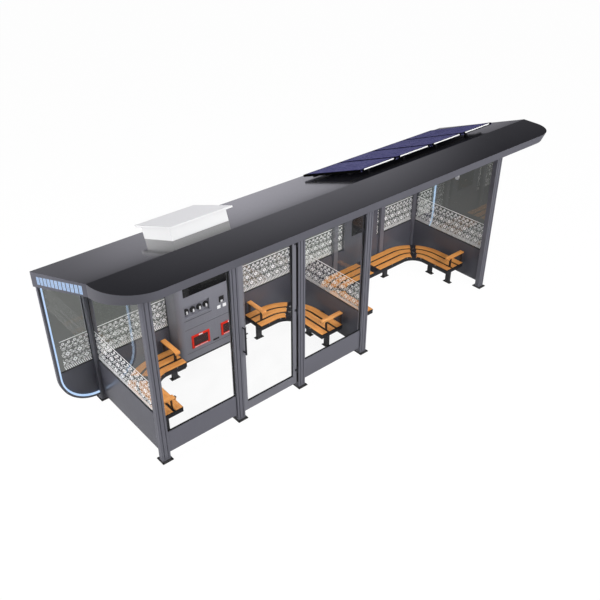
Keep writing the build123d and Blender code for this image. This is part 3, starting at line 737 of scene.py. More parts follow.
posts = [name for name in nodes if "_post_" in name]
dress(postPaint, *posts, "back_beam", "back_mullions", "cross_rails", "front_panels")
dress(panelPaint, "back_panels", "cross_panels", "info_panel")
dress(rimPaint, "wing_rims")
dress(roofPaint, "roof_cover", "roof_soffit")
dress(doorPaint, "door_frame")
dress(frontGlass, "door_glass", "front_glass")
dress(wallGlass, "back_glass", "cross_glass")
dress(kioskPaint, "kiosk_body")
# the front beam wears the dark bench coat as painted shade under the fascia
dress(benchPaint, "front_beam", "door_hinges", "door_knuckles", "door_handle", "arm_brackets")
dress(benchPaint, "bay_frame", "room_left_frame", "room_right_frame", "bench_legs", "seat_plates")
dress(footPaint, "base_plates", "bench_plates", "kiosk_feet")
dress(rackPaint, "solar_rack")
dress(unitPaint, "roof_unit", "roof_unit_lid")
dress(redPaint, "kiosk_hatches")
dress(lensPaint, "camera")
dress(glassScreen, "screens")
dress(slatWood, "room_left_slats", "room_right_slats", "bay_slats", "armrests")
dress(solarCells, "solar_panels")
dress(stripLamp, "light_strips")
print("materials on", len(nodes), "CAD nodes")


seat = {
    "rows": 3,
    "slatWidth": 0.128,
    "slatThickness": 0.030,
    "slatEdge": 0.007,
    "slatGap": 0.038,
    "seatBack": 0.105,
    "bendRadius": 0.266,
    "bendSteps": 14,
    "plateWidth": 0.108,
    "plateJoint": 0.002,
    "gapShadeThickness": 0.018,
    "gapShadeLift": 0.002,
    "gapShadeOverlap": 0.003,
    "flatWidth": 0.006,
    "flatDepth": 0.027,
    "flatDrop": 0.004,
    "flatProud": 0.0015,
    "steelEdge": 0.001,
    "grainStep": 0.731,
    "bayRuns": (1.2, 2.6),  # one place along each of the bay's two runs of slats at the back wall
}


def benchLines(wallX, endX, backY, endY, top):
    # centre lines of the slats: along the cross wall and round the bend up to the corner plate,
    # then from the plate round the bend and along the back wall
    side = 1 if endX > wallX else -1
    front = seat["seatBack"] + seat["rows"] * seat["slatWidth"] + (seat["rows"] - 1) * seat["slatGap"]
    bendX = wallX + side * (front + seat["bendRadius"])
    bendY = backY - front - seat["bendRadius"]
    height = top - seat["slatThickness"] / 2
    corner = 0.75 * math.pi

    def arc(radius, first, last):
        steps = seat["bendSteps"]
        turns = [first + (last - first) * k / steps for k in range(steps + 1)]
        xs = [bendX + side * radius * math.cos(turn) for turn in turns]
        ys = [bendY + radius * math.sin(turn) for turn in turns]
        return [Vector((x, y, height)) for x, y in zip(xs, ys)]

    lines = []
    for row in range(seat["rows"]):
        offset = seat["seatBack"] + seat["slatWidth"] / 2 + row * (seat["slatWidth"] + seat["slatGap"])
        radius = seat["bendRadius"] + front - offset
        gap = math.asin((seat["plateWidth"] / 2 + seat["plateJoint"]) / radius)
        crossEnd = Vector((wallX + side * offset, endY, height))
        backEnd = Vector((endX, backY - offset, height))
        lines.append([crossEnd] + arc(radius, math.pi, corner + gap))
        lines.append(arc(radius, corner - gap, math.pi / 2) + [backEnd])
    return lines


def slatRows(lines):
    # for each half of each bench, its rows of slats from the wall outwards; half 0 runs along the cross wall
    for first in range(0, len(lines), 2 * seat["rows"]):
        for half in (0, 1):
            yield half, [lines[first + 2 * row + half] for row in range(seat["rows"])]


def gapShadeFlatsBetween(lines):
    # dark flats that close the gaps between neighbouring slats, as painted shade in the gaps
    lift = Vector((0, 0, seat["gapShadeLift"]))
    gapShadeFlats = []
    for half, rows in slatRows(lines):
        for inner, outer in zip(rows, rows[1:]):
            gapShadeFlats.append([(a + b) / 2 + lift for a, b in zip(inner, outer)])
    return gapShadeFlats


def flatsAround(lines):
    # steel flats over the front edge and the free end of the slats, and the bolt spots on the front ones
    reach = seat["slatWidth"] / 2 + seat["flatProud"] - seat["flatWidth"] / 2
    drop = Vector((0, 0, seat["flatDrop"] + seat["flatDepth"] / 2 - seat["slatThickness"] / 2))
    bend = seat["bendSteps"] // 2
    flats, spots = [], []
    for half, (inner, middle, outer) in slatRows(lines):
        ways = [(b - a).normalized() for a, b in zip(middle, outer)]
        front = [point + way * reach - drop for point, way in zip(outer, ways)]
        flats.append(front)
        end, inward = (0, 1) if half == 0 else (-1, -2)
        past = (inner[end] - inner[inward]).normalized() * (seat["flatProud"] - seat["flatWidth"] / 2)
        wide = ways[end] * reach
        flats.append([inner[end] - wide + past - drop, outer[end] + wide + past - drop])
        straight = (front[end] + front[inward]) / 2
        for spot, way in ((straight, ways[end]), (front[bend], ways[bend])):
            turn = (math.pi / 2, 0, math.atan2(way.x, -way.y))
            spots.append((spot + way * seat["flatWidth"] / 2, turn))
    return flats, spots


def baySlatsOver(x):
    return [(low, high) for low, high in solidBoxes("bay_slats") if low.x < x < high.x]


wallXs = {
    "left": centreOf("front_post_1").x,
    "partition": centreOf("front_post_4").x,
    "right": centreOf("front_post_5").x,
}
backY = centreOf("back_post_1").y
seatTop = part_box("room_left_slats")[1].z
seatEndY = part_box("room_left_slats")[0].y
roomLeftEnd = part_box("room_left_slats")[1].x
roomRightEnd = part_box("room_right_slats")[0].x
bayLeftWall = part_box("bay_slats")[0].x - seat["seatBack"]  # this bench stands a little off the partition
bayLeftEnd = max(high.x for low, high in baySlatsOver(seat["bayRuns"][0]))
bayRightEnd = min(low.x for low, high in baySlatsOver(seat["bayRuns"][1]))

benchRuns = {
    "room_left_slats": [benchLines(wallXs["left"], roomLeftEnd, backY, seatEndY, seatTop)],
    "room_right_slats": [benchLines(wallXs["partition"], roomRightEnd, backY, seatEndY, seatTop)],
    "bay_slats": [
        benchLines(bayLeftWall, bayLeftEnd, backY, seatEndY, seatTop),
        benchLines(wallXs["right"], bayRightEnd, backY, seatEndY, seatTop),
    ],
}


def growBoards(name, mesh, width, thickness, edge, material):
    sizes = {"Width": width, "Thickness": thickness, "Edge": edge, "Material": material}
    return grow(name, mesh, boardTree, sizes)


boardCount = 0
gapShadeLines, flatLines, edgeSpots = [], [], []
for node, benches in benchRuns.items():
    lines = [line for bench in benches for line in bench]
    gapShadeLines += gapShadeFlatsBetween(lines)
    flats, spots = flatsAround(lines)
    flatLines += flats
    edgeSpots += spots
    marks = [round(seat["grainStep"] * (boardCount + k), 3) for k in range(len(lines))]
    boardCount += len(lines)
    boards = growBoards(
        node.replace("_slats", "") + "_seat_boards", chains(lines, marks),
        seat["slatWidth"], seat["slatThickness"], seat["slatEdge"], slatWood)
    settle(boards, shelterBody, (node,))
# the gap flats take the darkest coat as painted shade between the slats
gapShadeFlats = growBoards(
    "seat_ribs", chains(gapShadeLines),
    seat["slatGap"] + seat["gapShadeOverlap"], seat["gapShadeThickness"], seat["steelEdge"], footPaint)
settle(gapShadeFlats, shelterBody)
edgeFlats = growBoards(
    "seat_edge_flats", chains(flatLines),
    seat["flatWidth"], seat["flatDepth"], seat["steelEdge"], footPaint)
settle(edgeFlats, shelterBody)
print("seat boards", boardCount, "gapShadeFlats", len(gapShadeLines), "edge flats", len(flatLines))


armrest = {
    "width": 0.085,
    "thickness": 0.023,
    "noseRadius": 0.030,
    "noseDrop": 0.020,
    "noseSteps": 7,
    "tipCut": 0.008,
    "edge": 0.004,
    "leftTrim": 0.040,
    "leftReach": 0.3,
    "grainShift": 5.37,
}


def armOutline(length):
    # side outline of one armrest: flat at the wall, bent down in a rounded nose at its front end
    thick, bend, cut, steps = [armrest[key] for key in ("thickness", "noseRadius", "tipCut", "noseSteps")]
    turns = [math.pi / 2 * k / steps for k in range(steps + 1)]

    def nosePoints(radius):
        return [(length - bend + radius * math.sin(turn), -bend + radius * math.cos(turn)) for turn in turns]

    outer, inner = nosePoints(bend), nosePoints(bend - thick)
    tip = -bend - armrest["noseDrop"]
    nose = [(length, tip + cut), (length - cut, tip), (length - thick + cut / 2, tip)]
    return [(0.0, 0.0)] + outer + nose + list(reversed(inner)) + [(0.0, -thick)]


def armPlace(low, high, across):
    # one armrest's start at its wall and the way it points: along x from a cross wall, else along y
    middle = (low + high) / 2
    if not across:
        return Matrix.Translation((middle.x, high.y, high.z)) @ Matrix.Rotation(-math.pi / 2, 4, "Z")
    lowGap, highGap = [min(abs(end.x - x) for x in wallXs.values()) for end in (low, high)]
    if lowGap < highGap:
        return Matrix.Translation((low.x, middle.y, high.z))
    return Matrix.Translation((high.x, middle.y, high.z)) @ Matrix.Rotation(math.pi, 4, "Z")


def buildArmrests(bm):
    layer = bm.verts.layers.float_vector.new("grain")
    for index, (low, high) in enumerate(solidBoxes("armrests")):
        size = high - low
        across = size.x > size.y
        length = max(size.x, size.y)
        if across and low.x < wallXs["left"] + armrest["leftReach"]:
            length -= armrest["leftTrim"]  # the one beside the first front post
        place = armPlace(low, high, across)
        before = set(bm.verts)
        extruded(bm, armOutline(length), armrest["width"], place, armrest["edge"])
        back = place.inverted()
        shift = Vector((0, armrest["grainShift"] * (index + 1), 0))
        for vert in bm.verts:
            if vert not in before:
                vert[layer] = back @ vert.co + shift


arms = newObject("wooden_armrests", meshFrom("wooden_armrests", buildArmrests), slatWood)
settle(arms, shelterBody, ("armrests",))
print("armrests", len(solidBoxes("armrests")))


lace = {
    "top": 1.2825,
    "bottom": 0.772,
    "pitch": 0.184,
    "topLine": 0.013,
    "standOff": 0.0012,
    "wingStart": 3.999,
    "rings": [  # of the flowered rows: place along, drop from the top, half sizes outside and inside, steps
        (0.046, 0.058, (0.024, 0.024), (0.012, 0.012), 10),
        (0.046, 0.058, (0.006, 0.006), (0.0, 0.0), 5),
        (0.002, 0.090, (0.022, 0.021), (0.011, 0.010), 10),
        (0.046, 0.130, (0.019, 0.016), (0.004, 0.003), 8),
    ],
    "flowerPlace": 0.046,
    "flowerStrokes": [  # a stroke is x and z of its start, x and z of its end, and its width
        (0.040, 0.112, 0.022, 0.136, 0.007),
        (0.034, 0.150, 0.0, 0.166, 0.007),
    ],
    "upperDrop": 0.244,
    "lowerDrop": 0.381,
    "diamond": (0.043, 0.013),
    "smallDiamond": (0.017, 0.006),
    "sideStrokes": [(0.058, 0.0, 0.074, 0.0, 0.010)],
    "quarterStrokes": [
        (0.030, 0.046, 0.062, 0.014, 0.0085),
        (0.043, 0.058, 0.080, 0.021, 0.0085),
        (0.014, 0.052, 0.0, 0.064, 0.007),
    ],
    "hatchTop": 0.070,
    "hatchPitch": 0.0307,
    "hatchStroke": (-0.012, 0.064, 0.012, 0.004, 0.015),
    "hatchLine": 0.004,
}


def cutAcross(bm, x, keepsLow):
    # cuts the mesh at a plane across x and keeps one side of it
    everything = bm.verts[:] + bm.edges[:] + bm.faces[:]
    drops = {"clear_outer": keepsLow, "clear_inner": not keepsLow}
    bmesh.ops.bisect_plane(bm, geom=everything, plane_co=(x, 0, 0), plane_no=(1, 0, 0), **drops)


def buildLaceTile(bm):
    # one repeat of the band, in the local x-z plane with its lower edge at z 0
    band, pitch, hatchTop = lace["top"] - lace["bottom"], lace["pitch"], lace["hatchTop"]

    def shape(points):
        bm.faces.new([bm.verts.new((x, 0, z)) for x, z in points])

    def strip(low, high):
        shape([(0, low), (pitch, low), (pitch, high), (0, high)])

    def ring(x, z, outer, inner, steps):
        # outer and inner are half sizes along x and z
        def at(size, turn):
            return x + size[0] * math.cos(turn), z + size[1] * math.sin(turn)

        for k in range(steps):
            a, b = 2 * math.pi * k / steps, 2 * math.pi * (k + 1) / steps
            shape([at(outer, a), at(outer, b), at(inner, b), at(inner, a)])

    def rhombus(x, z, size, hole):
        ring(x, z, (size, size), (hole, hole), 4)

    def draw(x, z, strokes, sidesX=(-1, 1), sidesZ=(1,)):
        # strokes about a point, repeated on the sides asked for
        for sx in sidesX:
            for sz in sidesZ:
                for x0, z0, x1, z1, width in strokes:
                    start, end = Vector((x + sx * x0, z + sz * z0)), Vector((x + sx * x1, z + sz * z1))
                    half = (end - start).orthogonal().normalized() * width / 2
                    shape([start - half, end - half, end + half, start + half])

    def diamondSet(x, z):
        rhombus(x, z, *lace["diamond"])
        draw(x, z, lace["sideStrokes"])
        draw(x, z, lace["quarterStrokes"], sidesZ=(-1, 1))

    strip(band - lace["topLine"], band)
    for start in (0.0, pitch / 2):  # the flowered rows, twice a repeat
        for x, drop, outer, inner, steps in lace["rings"]:
            ring(start + x, band - drop, outer, inner, steps)
        draw(start + lace["flowerPlace"], band, lace["flowerStrokes"], sidesZ=(-1,))
    upper, lower = band - lace["upperDrop"], band - lace["lowerDrop"]
    diamondSet(pitch / 2, upper)
    rhombus(pitch / 2, lower, *lace["smallDiamond"])
    for x in (0.0, pitch):
        diamondSet(x, lower)
        rhombus(x, upper, *lace["smallDiamond"])
    strokes = round(pitch / lace["hatchPitch"])
    for k in range(strokes):
        draw((k + 0.5) * pitch / strokes, 0, [lace["hatchStroke"]], sidesX=(1,))
    strip(hatchTop, hatchTop + lace["hatchLine"])
    # what crosses the repeat's ends is drawn by its neighbours, so it is cut off here
    cutAcross(bm, pitch, True)
    cutAcross(bm, 0, False)


laceMotif = newObject("laceTileMotif", meshFrom("laceTile", buildLaceTile), whiteLace)


def laceSpan(start, end):
    # the band between two points at its foot, cut to that length
    run = end - start
    run.z = 0
    length = run.length
    piece = grow("laceSpan", bpy.data.meshes.new("empty"), laceRowTree, {
        "Motif": laceMotif,
        "Count": math.ceil(length / lace["pitch"]),
        "Pitch": lace["pitch"],
        "Material": whiteLace,
    })
    bm = bmesh.new()
    bm.from_mesh(piece.data)
    cutAcross(bm, length, True)
    turn = Matrix.Rotation(math.atan2(run.y, run.x), 4, "Z")
    bmesh.ops.transform(bm, matrix=Matrix.Translation(start) @ turn, verts=bm.verts)
    bm.to_mesh(piece.data)
    bm.free()
    return piece


def joinLace(name, spans):
    def build(bm):
        for piece in spans:
            bm.from_mesh(piece.data)
            bpy.data.objects.remove(piece)
    addPiece(name, build, whiteLace)


foot = lace["bottom"]
crossSpans = []
for low, high in solidBoxes("cross_glass"):
    x = low.x - lace["standOff"]
    crossSpans.append(laceSpan(Vector((x, high.y, foot)), Vector((x, low.y, foot))))
joinLace("cross_wall_lace", crossSpans)
backSpans = []
for low, high in solidBoxes("back_glass"):
    y = low.y - lace["standOff"]
    startX, endX = max(low.x, -lace["wingStart"]), min(high.x, lace["wingStart"])
    backSpans.append(laceSpan(Vector((startX, y, foot)), Vector((endX, y, foot))))
joinLace("back_wall_lace", backSpans)
bpy.data.objects.remove(laceMotif)
print("lace spans", len(crossSpans) + len(backSpans))


bead = {"width": 0.013, "side": 0.010, "proud": 0.004, "edge": 0.001, "postGap": 0.004, "wingFrom": 3.6}
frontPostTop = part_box("front_post_1")[1].z - bead["postGap"]
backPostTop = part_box("back_post_1")[1].z - bead["postGap"]


def beadBars(bm, low, high, axis, sides):
    # black bars along the chosen sides of one pane; axis is the pane's thin direction
    width, proud = bead["width"], bead["proud"]
    for side in sides:
        a, b = Vector(low), Vector(high)
        a[axis] -= proud
        b[axis] += proud
        along = 1 - axis  # the pane's horizontal direction
        if side == "foot":
            b.z = a.z + width
        elif side == "head":
            a.z = b.z - width
        elif side == "start":
            b[along] = a[along] + bead["side"]
            b.z = min(b.z, frontPostTop)
        else:
            a[along] = b[along] - bead["side"]
            b.z = min(b.z, backPostTop if axis == 0 else frontPostTop)
        addBox(bm, a, b, bead["edge"])


def addBeads(name, rows, body):
    def build(bm):
        for row in rows:
            beadBars(bm, *row)
    addPiece(name, build, beadMaterial, body)


def backSides(low, high):
    # the wings' curved outer edges and their heads carry no bead
    if low.x < -bead["wingFrom"]:
        return "foot", "end"
    if high.x > bead["wingFrom"]:
        return "foot", "start"
    return allSides


allSides = ("foot", "head", "start", "end")
wallPanes = [(low, high, 0, ("foot", "start", "end")) for low, high in solidBoxes("cross_glass")]
wallPanes += [(low, high, 1, backSides(low, high)) for low, high in solidBoxes("back_glass")]
wallPanes += [(low, high, 1, allSides) for low, high in solidBoxes("front_glass")]
doorPanes = [(low, high, 1, allSides) for low, high in solidBoxes("door_glass")]
addBeads("wall_glazing_beads", wallPanes, shelterBody)
addBeads("door_glazing_beads", doorPanes, doorBody)
print("panes with beads", len(wallPanes) + len(doorPanes))


bolts = {
    "anchorSpacing": 0.146,
    "anchorTurn": 0.3,
    "washer": (0.0115, 0.0015),  # each of these is a radius and a height above the plate
    "nut": (0.0085, 0.0085),
    "stud": (0.005, 0.016),
    "chamfer": 0.0015,
    "dome": (0.024, 0.016),
    "domeReach": 0.055,
    "edgeBolt": (0.012, 0.005),
    "cornerReach": 0.335,
    "cornerPlateSize": 0.2,
}


def anchorMotif():
    # washer, nut and the stud's end
    (washer, flat), (nut, nutTop), (stud, studTop) = bolts["washer"], bolts["nut"], bolts["stud"]
    chamfer, level = bolts["chamfer"], Matrix.Identity(4)
    nutHead, studFoot, studHead = nutTop + 0.001, nutTop + 0.0005, studTop + chamfer

    def build(bm):
        turned(bm, [(washer, 0.0), (washer, flat), (0.0, flat)], level, 14)
        turned(bm, [(nut, flat), (nut, nutTop), (nut - chamfer, nutHead), (0.0, nutHead)], level, 6)
        turned(bm, [(stud, studFoot), (stud, studTop), (stud - chamfer, studHead), (0.0, studHead)], level, 8)
    return newObject("anchorMotif", meshFrom("anchorMotif", build))


def domeMotif(radius, height):
    profile = [(radius, 0.0), (radius * 0.92, height * 0.45), (radius * 0.6, height * 0.85), (0.0, height)]

    def build(bm):
        turned(bm, profile, Matrix.Identity(4), 12)
    return newObject("domeMotif", meshFrom("domeMotif", build))


def anchorPlaces():
    half = bolts["anchorSpacing"] / 2
    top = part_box("base_plates")[1].z
    middles = [(low + high) / 2 for low, high in solidBoxes("base_plates")]
    corners = [(sx * half, sy * half) for sx in (-1, 1) for sy in (-1, 1)]
    turn = (0, 0, bolts["anchorTurn"])
    return [(Vector((middle.x + x, middle.y + y, top)), turn) for middle in middles for x, y in corners]


def domePlaces():
    # two domes on each plate across a bend, in line with the corner
    inset, reach = bolts["cornerReach"], bolts["domeReach"]
    corners = [(wallXs["left"] + inset, 1), (bayLeftWall + inset, 1)]
    corners += [(wallXs["partition"] - inset, -1), (wallXs["right"] - inset, -1)]
    places = []
    for low, high in solidBoxes("seat_plates"):
        middle = (low + high) / 2
        if min(high.x - low.x, high.y - low.y) > bolts["cornerPlateSize"]:
            side = min((abs(middle.x - x), side) for x, side in corners)[1]
            for step in (-reach, reach):
                places.append((Vector((middle.x - side * step, middle.y + step, high.z)), (0, 0, 0)))
    return places


anchors, domes = anchorPlaces(), domePlaces()
settle(scattered("anchor_nuts", anchorMotif(), anchors, anchorSteel), shelterBody)
domePieces = scattered("corner_plate_domes", domeMotif(*bolts["dome"]), domes, boltMaterial)
settle(domePieces, shelterBody)
edgePieces = scattered("seat_edge_bolts", domeMotif(*bolts["edgeBolt"]), edgeSpots, boltMaterial)
settle(edgePieces, shelterBody)
print("anchors", len(anchors), "domes", len(domes), "edge bolts", len(edgeSpots))


kioskLow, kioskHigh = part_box("kiosk_body")
faceY = kioskLow.y

kiosk = {  # places along x are counted from the cabinet's left side, heights from the ground
    "sockets": 4,
    "socketX": 0.171,
    "socketPitch": 0.120,
    "socketZ": 1.105,
    "socketRadius": 0.052,
    "recess": 0.045,
    "roundedSide": 0.10,
    "seams": (0.79, 0.335),
    "seamWidth": 0.006,
    "cardReader": (0.761, 0.856, 1.045, 1.155),
    "cardKey": (0.789, 0.826, 1.050, 1.082),
    "slot": (0.601, 0.716, 0.372, 0.406),
    "ledge": (0.10, 0.611, 0.955, 0.964),
    "dash": (0.028, 1.018, 1.026),
    "key": (0.013, 1.062, 1.112),
    "keyShift": 0.006,
    "keyDepths": (0.014, 0.034),
    "footBand": (0.002, 0.030),
    "plateXs": (0.753, 0.859),
    "plate": (0.032, 0.938, 0.998),
    "screenTop": 1.690,
    "proud": 0.003,
    # the pale bars on the red hatch frames are painted highlights
    "hatchHeadHighlight": (0.035, 0.026, 0.006),  # half width, then drops of its foot and head from the frame's top
    "hatchSillHighlight": (0.045, 0.010, 0.017),  # inset at the ends, then rises of its foot and head
    "hatchInset": 0.030,
    "hatchDepths": (0.004, 0.010),
}
firstSocket = kioskLow.x + kiosk["socketX"]
kiosk["socketXs"] = [firstSocket + kiosk["socketPitch"] * k for k in range(kiosk["sockets"])]


def faceBox(bm, x0, x1, z0, z1, proud, sink=0.0, edge=0.001):
    # a low box on the cabinet's front
    addBox(bm, (x0, faceY - proud, z0), (x1, faceY + sink, z1), edge)


def faceBoxAt(bm, limits, proud):
    # the same from its limits in the kiosk's own measures
    x0, x1, z0, z1 = limits
    faceBox(bm, kioskLow.x + x0, kioskLow.x + x1, z0, z1, proud)


def buildKioskDark(bm):
    half = kiosk["seamWidth"] / 2
    for z in kiosk["seams"]:
        faceBox(bm, kioskLow.x + kiosk["roundedSide"], kioskHigh.x - 0.02, z - half, z + half, 0.0008)
    faceBoxAt(bm, kiosk["cardReader"], kiosk["proud"])
    faceBoxAt(bm, kiosk["slot"], kiosk["proud"])
    faceBoxAt(bm, kiosk["ledge"], 0.002)
    foot, head = [kioskLow.z + rise for rise in kiosk["footBand"]]
    faceBox(bm, kioskLow.x + 0.004, kioskHigh.x - 0.004, foot, head, 0.002)
    reach, low, high = kiosk["dash"]
    for x in kiosk["socketXs"]:  # short dark dashes under the sockets
        faceBox(bm, x - reach, x + reach, low, high, 0.0015 - kiosk["recess"], kiosk["recess"])


def buildKioskSockets(bm):
    outer = kiosk["socketRadius"]
    profile = [(outer, 0.0), (outer, 0.010), (outer * 0.86, 0.014), (outer * 0.7, 0.011), (0.0, 0.009)]
    for x in kiosk["socketXs"]:
        spot = Matrix.Translation((x, faceY + kiosk["recess"], kiosk["socketZ"]))
        turned(bm, profile, spot @ Matrix.Rotation(math.pi / 2, 4, "X"), 20)


def buildKioskKeys(bm):
    reach, low, high = kiosk["key"]
    front, back = [faceY + depth for depth in kiosk["keyDepths"]]
    for socketX in kiosk["socketXs"]:
        x = socketX + kiosk["keyShift"]
        addBox(bm, (x - reach, front, low), (x + reach, back, high), 0.005, 2)
    x0, x1, z0, z1 = kiosk["cardKey"]
    addBox(bm, (kioskLow.x + x0, faceY - 0.012, z0), (kioskLow.x + x1, faceY - kiosk["proud"], z1), 0.003, 2)


def buildKioskPlatesAndHighlights(bm):
    # blank pale plates below the keys, and pale bars on the red frames that are painted highlights
    reach, low, high = kiosk["plate"]
    for x in kiosk["plateXs"]:
        faceBox(bm, kioskLow.x + x - reach, kioskLow.x + x + reach, low, high, kiosk["proud"])
    half, dropFoot, dropHead = kiosk["hatchHeadHighlight"]
    inset, riseFoot, riseHead = kiosk["hatchSillHighlight"]
    for low, high in solidBoxes("kiosk_hatches"):
        middle = (low.x + high.x) / 2
        front, back = low.y - 0.0012, low.y + 0.001
        addBox(bm, (middle - half, front, high.z - dropFoot), (middle + half, back, high.z - dropHead), 0.0004)
        addBox(bm, (low.x + inset, front, low.z + riseFoot), (high.x - inset, back, low.z + riseHead), 0.0004)


def buildScreenField(bm):
    # the dark field round and above the screen, up to where the canopy hides it
    low, high = solidBoxes("screens")[0]
    addBox(bm, (low.x, low.y - 0.0008, low.z), (high.x, high.y - 0.0008, kiosk["screenTop"]), 0.0005)


def buildHatchFaces(bm):
    # dark recessed faces of the two red hatches
    inset = kiosk["hatchInset"]
    for low, high in solidBoxes("kiosk_hatches"):
        front, back = [low.y + depth for depth in kiosk["hatchDepths"]]
        addBox(bm, (low.x + inset, front, low.z + inset), (high.x - inset, back, high.z - inset), 0.002)


addPiece("kiosk_screen_field", buildScreenField, glassScreen)
addPiece("kiosk_dark_trim", buildKioskDark, trimMaterial)
addPiece("kiosk_sockets", buildKioskSockets, trimMaterial)
addPiece("kiosk_keys", buildKioskKeys, keyPaint)
addPiece("kiosk_pale_plates", buildKioskPlatesAndHighlights, unitPaint)
addPiece("hatch_faces", buildHatchFaces, hatchGlass)
print("kiosk sockets", kiosk["sockets"])


solar = {
    "frame": 0.028,
    "skin": 0.0006,
    "edge": 0.0004,
    "lipInset": 0.07,
    "lipHeight": 0.018,
    "lipReach": 0.004,
}


def panelPlace(low, high):
    # local x along the row, y down the slope from the front edge, z out of the glass
    near = 1e-4
    vertices = nodes["solar_panels"].data.vertices
    corners = [v.co for v in vertices if low.x - near < v.co.x < high.x + near]
    top = max(corners, key=lambda p: p.z)
    foot = max(corners, key=lambda p: p.y)
    slope = Vector((0, foot.y - top.y, foot.z - top.z))
    length = slope.length
    slope.normalize()
    out = Vector((1, 0, 0)).cross(slope)
    depths = [(top - corner).dot(out) for corner in corners]
    thickness = min(depth for depth in depths if depth > 0.005)
    columns = Matrix(((1, 0, 0), slope, out)).transposed().to_4x4()
    place = Matrix.Translation((low.x, top.y, top.z)) @ columns
    return place, high.x - low.x, length, thickness


def addPanelBars(bm, barsOf):
    # the bars that barsOf(width, length, thickness) lists, on each panel
    for low, high in solidBoxes("solar_panels"):
        place, width, length, thick = panelPlace(low, high)
        for start, end in barsOf(width, length, thick):
            before = set(bm.verts)
            addBox(bm, start, end, solar["edge"])
            bmesh.ops.transform(bm, matrix=place, verts=[v for v in bm.verts if v not in before])


def frameBars(width, length, thick):
    f, skin = solar["frame"], solar["skin"]
    return [
        ((-skin, 0.0, -thick), (f, length, skin)),
        ((width - f, 0.0, -thick), (width + skin, length, skin)),
        ((f, -skin, -thick), (width - f, f, skin / 2)),
        ((f, length - f, -thick), (width - f, length + skin, skin)),
    ]


def lipBars(width, length, thick):
    # a white lip along the front edge
    inset = solar["lipInset"]
    return [((inset, -solar["lipReach"], -solar["lipHeight"] - 0.001), (width - inset, -0.0008, -0.001))]


addPiece("solar_frames", lambda bm: addPanelBars(bm, frameBars), solarBlack)
addPiece("solar_white_lips", lambda bm: addPanelBars(bm, lipBars), unitPaint)
print("solar frames", len(solidBoxes("solar_panels")))


fascia = {  # plain lamp bars on the left end of the roof
    "groups": 12,
    "from": 1.01,
    "to": -0.49,
    "fill": 0.80,
    "bars": 3,
    "barShare": 0.66,
    "height": 0.118,
    "drop": 0.008,
    "proud": 0.0004,
    "depth": 0.0034,
}


def fasciaMiddle(y):
    share = (y - roofLine["backY"]) / (roofLine["foldY"] - roofLine["backY"])
    top = roofLine["backZ"] + share * (roofLine["foldZ"] - roofLine["backZ"])
    foot = roofLine["backFoot"] + share * (roofLine["foldFoot"] - roofLine["backFoot"])
    return (top + foot) / 2 - fascia["drop"]


def lampBar(bm, y0, y1):
    # one upright bar that follows the fascia's slope
    x, half = roofLine["endX"] - fascia["proud"], fascia["height"] / 2
    z0, z1 = fasciaMiddle(y0), fasciaMiddle(y1)
    ring = [(y0, z0 - half), (y1, z1 - half), (y1, z1 + half), (y0, z0 + half)]
    outer = [bm.verts.new((x, y, z)) for y, z in ring]
    inner = [bm.verts.new((x + fascia["depth"] - fascia["proud"], y, z)) for y, z in ring]
    faces = [bm.faces.new(outer), bm.faces.new(list(reversed(inner)))]
    for k in range(4):
        faces.append(bm.faces.new((outer[k], inner[k], inner[(k + 1) % 4], outer[(k + 1) % 4])))
    bmesh.ops.recalc_face_normals(bm, faces=faces)


def buildFasciaLamps(bm):
    # equal groups of bars
    pitch = (fascia["to"] - fascia["from"]) / fascia["groups"]
    barPitch = pitch * fascia["fill"] / fascia["bars"]
    for group in range(fascia["groups"]):
        for bar in range(fascia["bars"]):
            start = fascia["from"] + pitch * group + barPitch * bar
            lampBar(bm, start, start + barPitch * fascia["barShare"])


addPiece("fascia_lamp_bars", buildFasciaLamps, fasciaLamp)
print("fascia lamps", fascia["groups"] * fascia["bars"])


sealAndShade = {"proud": 0.0012, "margin": 0.004, "topGap": 0.002, "edge": 0.0003}


def buildSealAndShadeStrip(bm):
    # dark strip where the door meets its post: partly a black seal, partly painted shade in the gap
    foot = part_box("front_panels")[0].z
    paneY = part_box("front_glass")[0].y
    low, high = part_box("front_post_3")
    start = (low.x - sealAndShade["proud"], low.y + sealAndShade["margin"], foot)
    addBox(bm, start, (low.x + 0.001, paneY, high.z - sealAndShade["topGap"]), sealAndShade["edge"])


addPiece("post_side_seals", buildSealAndShadeStrip, beadMaterial)
print("door seal on front_post_3")


studio = {
    "floorSize": 60,
    "floorDrop": 0.0005,
    "floorWhite": 1.04,
    "floorShadow": 0.06,
    "floorMirror": 0.45,
    "farFloorFrom": 4.0,
    "floorThroughGlass": (0.167, 0.085),
    "worldThroughGlass": 0.10,
    "plain": 0.23,
    "farFloorMirror": [
        (-1.0, 0.2), (0.30, 0.24), (0.34, 0.33), (0.38, 0.45), (0.45, 0.6), (0.53, 0.70),
        (0.60, 0.62), (0.75, 0.4), (1.0, 0.2)],
    "lowMirror": [
        (-1.0, 0.08), (0.30, 0.16), (0.38, 0.5), (0.52, 1.45), (0.62, 1.75), (0.70, 0.85),
        (0.76, 0.15), (1.0, 0.05)],
    "highMirror": [(-1.0, 0.08), (0.35, 0.08), (0.56, 0.42), (0.68, 0.45), (0.78, 0.06), (1.0, 0.04)],
    "lights": [  # name, place, target, size, watts
        ("frontSoftbox", (1.5, -11.5, 9.0), (0, 0, 1.0), (12, 5), 2250),
        ("leftSoftbox", (-11.0, 3.5, 5.0), (-3, 0, 1.2), (5, 5), 1100),
        ("topSoftbox", (1.0, 3.0, 10.0), (0, 0, 1.5), (9, 5), 180),
        ("canopyFill", (-0.4, 0.15, 2.13), (-0.4, 0.15, 0), (5.6, 1.1), 62),
    ],
    "cameraPlace": (-6.904, -7.4615, 7.467),
    "cameraTurn": (56.923, 0, -40.754),
    "lens": 44.27,
    "sensor": 36,
    "farthest": 200,
}


